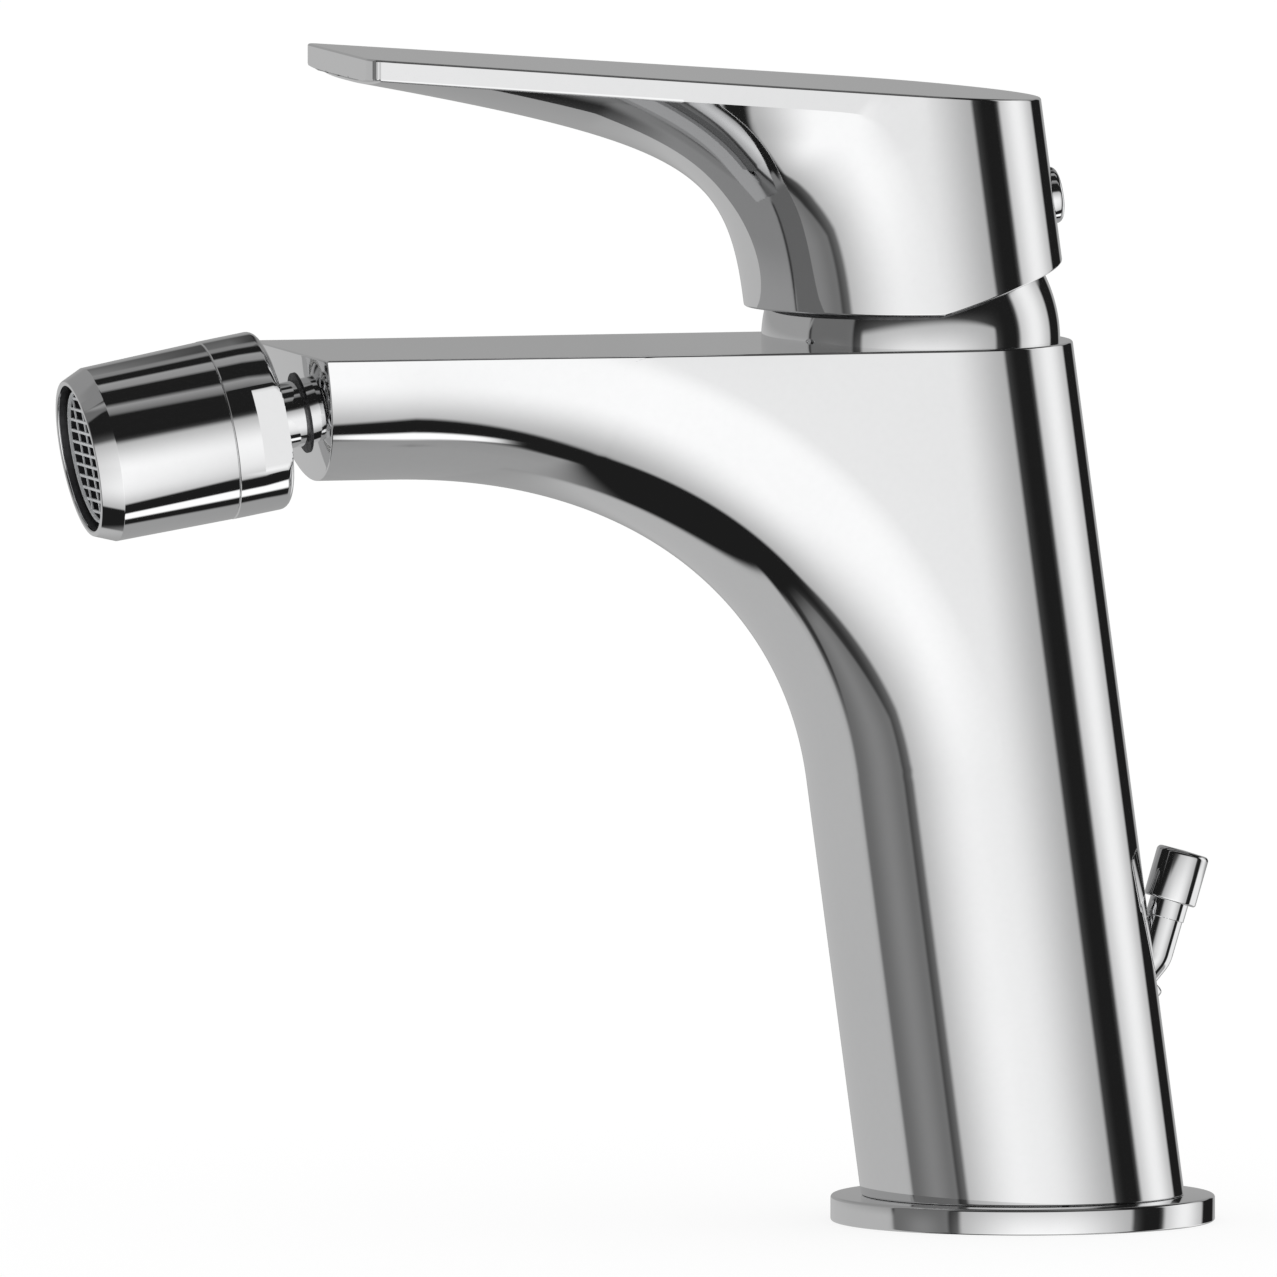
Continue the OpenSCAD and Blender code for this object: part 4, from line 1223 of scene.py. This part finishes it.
@dataclass
class WasteRod:
    """Pop-up rod behind the column, with its knob and its bush."""

    column: Column = field(default_factory=Column)
    radius: float = 2.5
    kink_gap: float = 0.9
    kink_z: float = 35.5
    slope: float = 40.0
    knob_slope: float = 16.5
    bend: float = 3.0
    run: float = 27.984
    foot_z: float = 4.0
    knob_r: float = 3.6
    knob_l: float = 7.0
    knob_up: float = 11.2
    step_r: float = 2.65
    step_l: float = 2.4
    bush_r: float = 4.0
    bush_start: float = 3.0
    bush_l: float = 10.0
    bush_gap: float = 0.05
    foot_bevel: float = 0.4
    step_bevel: float = 0.08
    knob_crown: float = 0.1
    bend_steps: int = 10
    rod_parts: int = 64
    knob_parts: int = 96

    def kink(self) -> Vector:
        """Point where the two slopes of the rod meet."""
        x = self.column.axis_x(self.kink_z) + self.column.radius + self.kink_gap
        return Vector((x, 0, self.kink_z))

    @staticmethod
    def slant(angle: float) -> Vector:
        """Direction in the middle plane at an angle from the vertical."""
        return Vector((sind(angle), 0, cosd(angle)))

    def build(self) -> None:
        """Makes the rod, the knob and the bush."""
        self._rod()
        self._knob()
        self._bush()

    def _bend_rows(self, corner: Vector, before: float, after: float) -> list[tuple[Vector, float]]:
        """Axis points and slopes round a bend.

        Args:
            corner: Point where the straight lengths would meet.
            before: Slope of the lower length.
            after: Slope of the upper length.

        Returns:
            Each point with the slope there.
        """
        turn = after - before
        cut = self.bend * tand(abs(turn) / 2)
        start = corner - self.slant(before) * cut
        centre = start + self.slant(before + math.copysign(90, turn)) * self.bend
        rows = []
        for i in range(self.bend_steps + 1):
            slope = before + turn * i / self.bend_steps
            rows.append((centre - self.slant(slope + math.copysign(90, turn)) * self.bend, slope))
        return rows

    def _rod(self) -> None:
        """Sweeps a round section along the bent axis of the rod."""
        kink = self.kink()
        low = kink - self.slant(self.slope) * self.run
        rise = self.slant(self.knob_slope)
        step = self.knob_up - self.knob_l / 2 - self.step_l
        bevel = self.foot_bevel
        path = [(Vector((low.x, 0, self.foot_z)), 0.0, self.radius - bevel),
                (Vector((low.x, 0, self.foot_z + bevel)), 0.0, self.radius)]
        path += [(p, a, self.radius) for p, a in self._bend_rows(low, 0.0, self.slope)]
        path += [(p, a, self.radius) for p, a in self._bend_rows(kink, self.slope, self.knob_slope)]
        bevel = self.step_bevel
        for up, radius in ((step, self.radius), (step, self.step_r - bevel), (step + bevel, self.step_r),
                           (step + self.step_l, self.step_r), (step + self.step_l, self.radius),
                           (self.knob_up, self.radius)):
            path.append((kink + rise * up, self.knob_slope, radius))
        shape = Surface()
        turns = [360 * k / self.rod_parts for k in range(self.rod_parts)]
        rows = []
        for centre, slope, radius in path:
            across = self.slant(slope + 90)
            rows.append(shape.row(
                centre + radius * (cosd(a) * across + Vector((0, sind(a), 0))) for a in turns))
        shape.skin(rows)
        shape.faces += [rows[0], rows[-1]]
        dress(shape.piece("lift_rod"), "waste_pull", "waste_rod", Finishes.CHROME)

    def _knob(self) -> None:
        """Makes the knob on the end of the rod."""
        shape = Surface()
        shape.spin(rounded([
            (0.0, 0.0, 0), (self.knob_r, 0.0, 0.35), (self.knob_r, self.knob_l, 0.6),
            (0.0, self.knob_l + self.knob_crown, 0)]), self.knob_parts)
        place = Matrix.Translation(self.kink() + self.slant(self.knob_slope) * (
            self.knob_up - self.knob_l / 2)) @ Matrix.Rotation(math.radians(self.knob_slope), 4, "Y")
        dress(shape.piece("lift_knob", place), "waste_pull", "waste_knob", Finishes.CHROME)

    def _bush(self) -> None:
        """Makes the bush that guides the rod through the column."""
        shape = Surface()
        bore = self.radius + self.bush_gap
        shape.spin(rounded([
            (bore, -self.bush_l, 0), (self.bush_r, -self.bush_l, 0.3), (self.bush_r, 0.0, 0.5),
            (bore, 0.0, 0.3), (bore, -self.bush_l, 0)])[:-1], self.knob_parts, loop=True)
        place = Matrix.Translation(self.kink() - self.slant(self.slope) * self.bush_start) \
            @ Matrix.Rotation(math.radians(self.slope), 4, "Y")
        dress(shape.piece("rod_guide_bush", place), "fixed_body", "rod_bush", Finishes.CHROME)


@dataclass
class InnerParts:
    """Nodes of the frame that stay as they are and only get a finish."""

    finishes: dict[Finishes, tuple[str, ...]] = field(default_factory=lambda: {
        Finishes.RUBBER: ("base_gasket", "dome_o_ring", "port_seals", "nipple_o_ring", "ball_seal",
                          "outlet_gasket"),
        Finishes.BRASS: ("cartridge_nut",),
        Finishes.WHITE_PLASTIC: ("cartridge_housing", "cartridge_base", "spindle_carrier",
                                 "disc_coupler", "ball_liner"),
        Finishes.CERAMIC: ("fixed_ceramic_disc", "moving_ceramic_disc"),
        Finishes.STEEL: ("stem_pin", "lever_stem", "grub_screw", "outlet_screen")})

    def build(self, nodes: Mapping[str, bpy.types.Object]) -> None:
        """Gives each node its finish.

        Args:
            nodes: Objects of the frame by node name.
        """
        for finish, names in self.finishes.items():
            for name in names:
                slots = nodes[name].data.materials
                slots.clear()
                slots.append(finish.value.material())
                LOG.info("%s takes %s", name, finish.value.name)


# Studio


@dataclass(frozen=True)
class Look:
    """A direction from the object: angles that the light boxes and cards are placed by.

    The turn is 0 towards the camera and grows to the right. The height is 0 level with the object. The
    bow is the height of the direction as it looks from the side, and the drop is how far the height
    lies under the bend of the slanted card edges.
    """

    turn: Sock
    height: Sock
    bow: Sock
    drop: Sock


@dataclass(frozen=True)
class Card:
    """A soft-edged light box or dark card round the object."""

    level: float
    left: float
    right: float
    low: float
    high: float
    side: float = 3.0
    ends: float = 4.0
    left_slope: float = 0.0
    right_slope: float = 0.0
    tilt: float = 0.0
    bowed: bool = False

    def over(self, behind: Any, look: Look) -> Sock:
        """Lays the card over what is behind it.

        Args:
            behind: Brightness behind the card.
            look: Direction that is looked along.

        Returns:
            The brightness with the card.
        """
        left = (look.turn - look.drop * self.left_slope).above(self.left, self.side)
        right = (look.turn - look.drop * self.right_slope).above(self.right, self.side)
        rise = look.bow if self.bowed else look.height
        high = (rise - look.turn * self.tilt).above(self.high, self.ends)
        mask = left * (1 - right) * rise.above(self.low, self.ends) * (1 - high)
        return behind + mask * (self.level - behind)


@dataclass
class Studio:
    """Camera, floor and the soft boxes and dark cards that the chrome reflects."""

    turn: float = 14.0
    tilt: float = 4.2
    target: Vector = field(default_factory=lambda: Vector((-53.55, 0, 79.77)))
    frame_w: float = 172.3
    distance: float = 8000.0
    sensor: float = 36.0
    floor_r: float = 3000.0
    bows: tuple[tuple[float, float], ...] = (
        (-180, 0.38), (-108, 0.36), (-97, 0.33), (-93, DARK), (54, DARK), (57, 0.18), (66, 0.34),
        (71, DARK), (90, DARK), (94, 0.30), (104, 0.36), (107, DARK), (117, DARK), (123, 0.22),
        (165, 0.33), (180, 0.38))
    cards: tuple[Card, ...] = (
        Card(0.25, -220, -62, 42, 60),
        Card(0.30, -220, -86, -59, 54),
        Card(0.36, -220, -87, -59, 18, ends=14),
        Card(0.02, -220, -173, 25, 52, side=16, ends=8),
        Card(0.02, 172, 400, 25, 52, side=12, ends=8),
        Card(0.51, -173, -85, -58, -1, side=12, ends=6, right_slope=0.12),
        Card(DARK, -166, -20, -100, -59, side=24, ends=4),
        Card(DARK, 68, 97, -60, 60, side=4),
        Card(0.16, -84, -46, -60, 48, left_slope=-0.22, right_slope=0.72),
        Card(0.25, -73, -54, -60, -2, side=20, ends=14, left_slope=0.1, right_slope=0.5),
        Card(0.72, 62, 71, -56, -12, side=4),
        Card(0.95, 97, 150, -30, -13, side=8),
        Card(DARK, 95, 146, 27, 60, side=6),
        Card(0.46, -38.5, 69.5, -83, 15.5, side=4, ends=8, left_slope=0.45, tilt=0.13, bowed=True),
        Card(1.14, -24, 51, -64, 3, side=58, ends=44, left_slope=0.3),
        Card(1.2, 84, 119, -83, -59, side=12, ends=6),
        Card(DARK, 120, 143, -72, -55, side=8, ends=6),
        Card(DARK, -400, 400, -120, -83.5, ends=3),
        Card(DARK, 137, 162, -9, 13, side=6),
        Card(0.60, 94.5, 137, -12, 25, side=5, ends=5),
        Card(1.02, 101, 126, -14, 26, side=24, ends=8))
    bend: float = -23.0
    strip_edge: float = 0.11
    strip_flare: float = 0.46
    strip_skew: float = 0.1
    strip_soft: float = 0.06
    strip_start: float = 0.05
    strip_top: tuple[float, float] = (-50.0, 10.0)
    plain_level: float = 0.85
    plain_rise: float = 0.2
    floor_parts: int = 96
    floor_drop: float = 0.02
    floor_glow: float = 1.05
    floor_share: float = 0.75

    def build(self) -> None:
        """Makes the camera, the world and the floor."""
        bpy.context.scene.view_settings.view_transform = "Standard"
        self._camera()
        self._world()
        self._floor()

    def to_camera(self) -> Vector:
        """Direction from the object to the camera."""
        return Vector((-sind(self.turn) * cosd(self.tilt), -cosd(self.turn) * cosd(self.tilt),
                       sind(self.tilt)))

    def _camera(self) -> None:
        """Sets up the camera with a long lens."""
        data = bpy.data.cameras.new("front_camera")
        data.sensor_fit = "HORIZONTAL"
        data.sensor_width = self.sensor
        data.lens = self.sensor * self.distance / self.frame_w
        data.clip_start, data.clip_end = 0.1, 100.0
        camera = bpy.data.objects.new("front_camera", data)
        bpy.context.scene.collection.objects.link(camera)
        camera.location = (self.target + self.to_camera() * self.distance) * MM
        camera.rotation_euler = (-self.to_camera()).to_track_quat("-Z", "Y").to_euler()
        bpy.context.scene.camera = camera

    def _world(self) -> None:
        """Builds the surroundings: white for the camera, cards for metal, plain light for the rest."""
        world = bpy.data.worlds.new("soft_studio")
        bpy.context.scene.world = world
        world.use_nodes = True
        tree = Tree(world.node_tree)
        way = tree.node("ShaderNodeTexCoord", {}, {}, "Generated")

        def along(direction: Sequence[float]) -> Sock:
            """Share of the direction that runs along an axis."""
            return tree.node("ShaderNodeVectorMath", {"operation": "DOT_PRODUCT"},
                             {0: way, 1: tuple(direction)}, 1)

        ahead = along((-sind(self.turn), -cosd(self.turn), 0))
        right = along((cosd(self.turn), -sind(self.turn), 0))
        up = along((0, 0, 1))
        turn = ahead.heading(right)
        height = (ahead * ahead + right * right).root().heading(up)
        stops = [((angle + 180) / 360, level) for angle, level in self.bows]
        level = tree.node("ShaderNodeValToRGB", {"stops": stops}, {0: ahead.heading(up) / 360 + 0.5})
        look = Look(turn, height, ahead.heading(up), (height - self.bend).smaller(0.0))
        for card in self.cards:
            level = card.over(level, look)
        across = (right * right).root() * self.strip_flare - right * self.strip_skew
        strip = (1 - (ahead - across).above(self.strip_edge, self.strip_soft)) \
            * ahead.above(0.0, self.strip_start) * (1 - height.above(*self.strip_top))
        level = level + strip * (DARK - level)
        seen = [tree.node("ShaderNodeLightPath", {}, {}, f"Is {kind} Ray")
                for kind in ("Camera", "Glossy", "Transmission")]
        mirrored = seen[1].larger(seen[2])
        plain = self.plain_level + up * self.plain_rise
        light = plain + mirrored * (level - plain)
        light = light + seen[0] * (1 - light)
        shader = tree.node("ShaderNodeBackground", {}, {"Color": light, "Strength": 1.0})
        tree.node("ShaderNodeOutputWorld", {}, {"Surface": shader})

    def _floor(self) -> None:
        """Makes the pale floor, which shows a faint shadow and runs out into the white background."""
        shape = Surface()
        shape.spin([(0.0, 0.0), (self.floor_r / 20, 0.0), (self.floor_r, 0.0)], self.floor_parts)
        floor = shape.piece("studio_floor")
        floor.location.z = -self.floor_drop * MM
        made = bpy.data.materials.new("pale_floor")
        made.use_nodes = True
        tree = Tree(made.node_tree)
        plain = tree.node("ShaderNodeBsdfDiffuse", {}, {"Color": (0.9, 0.9, 0.9, 1.0)})
        glow = tree.node(
            "ShaderNodeEmission", {}, {"Color": (1.0, 1.0, 1.0, 1.0), "Strength": self.floor_glow})
        shader = tree.node("ShaderNodeMixShader", {}, {0: self.floor_share, 1: plain, 2: glow})
        tree.node("ShaderNodeOutputMaterial", {}, {"Surface": shader})
        floor.data.materials.append(made)
        floor.visible_glossy = False


def main() -> None:
    """Loads the frame and builds the studio and every piece."""
    logging.basicConfig(level=logging.INFO)
    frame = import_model()
    column = Column()
    Studio().build()
    BodyCasting(column).build()
    BaseRing().build()
    DomeCover(column).build()
    LeverHandle(column).build()
    IndexButton(column).build()
    BallNozzle().build()
    WasteRod(column).build()
    InnerParts().build(frame["nodes"])


if __name__ == "__main__":
    main()
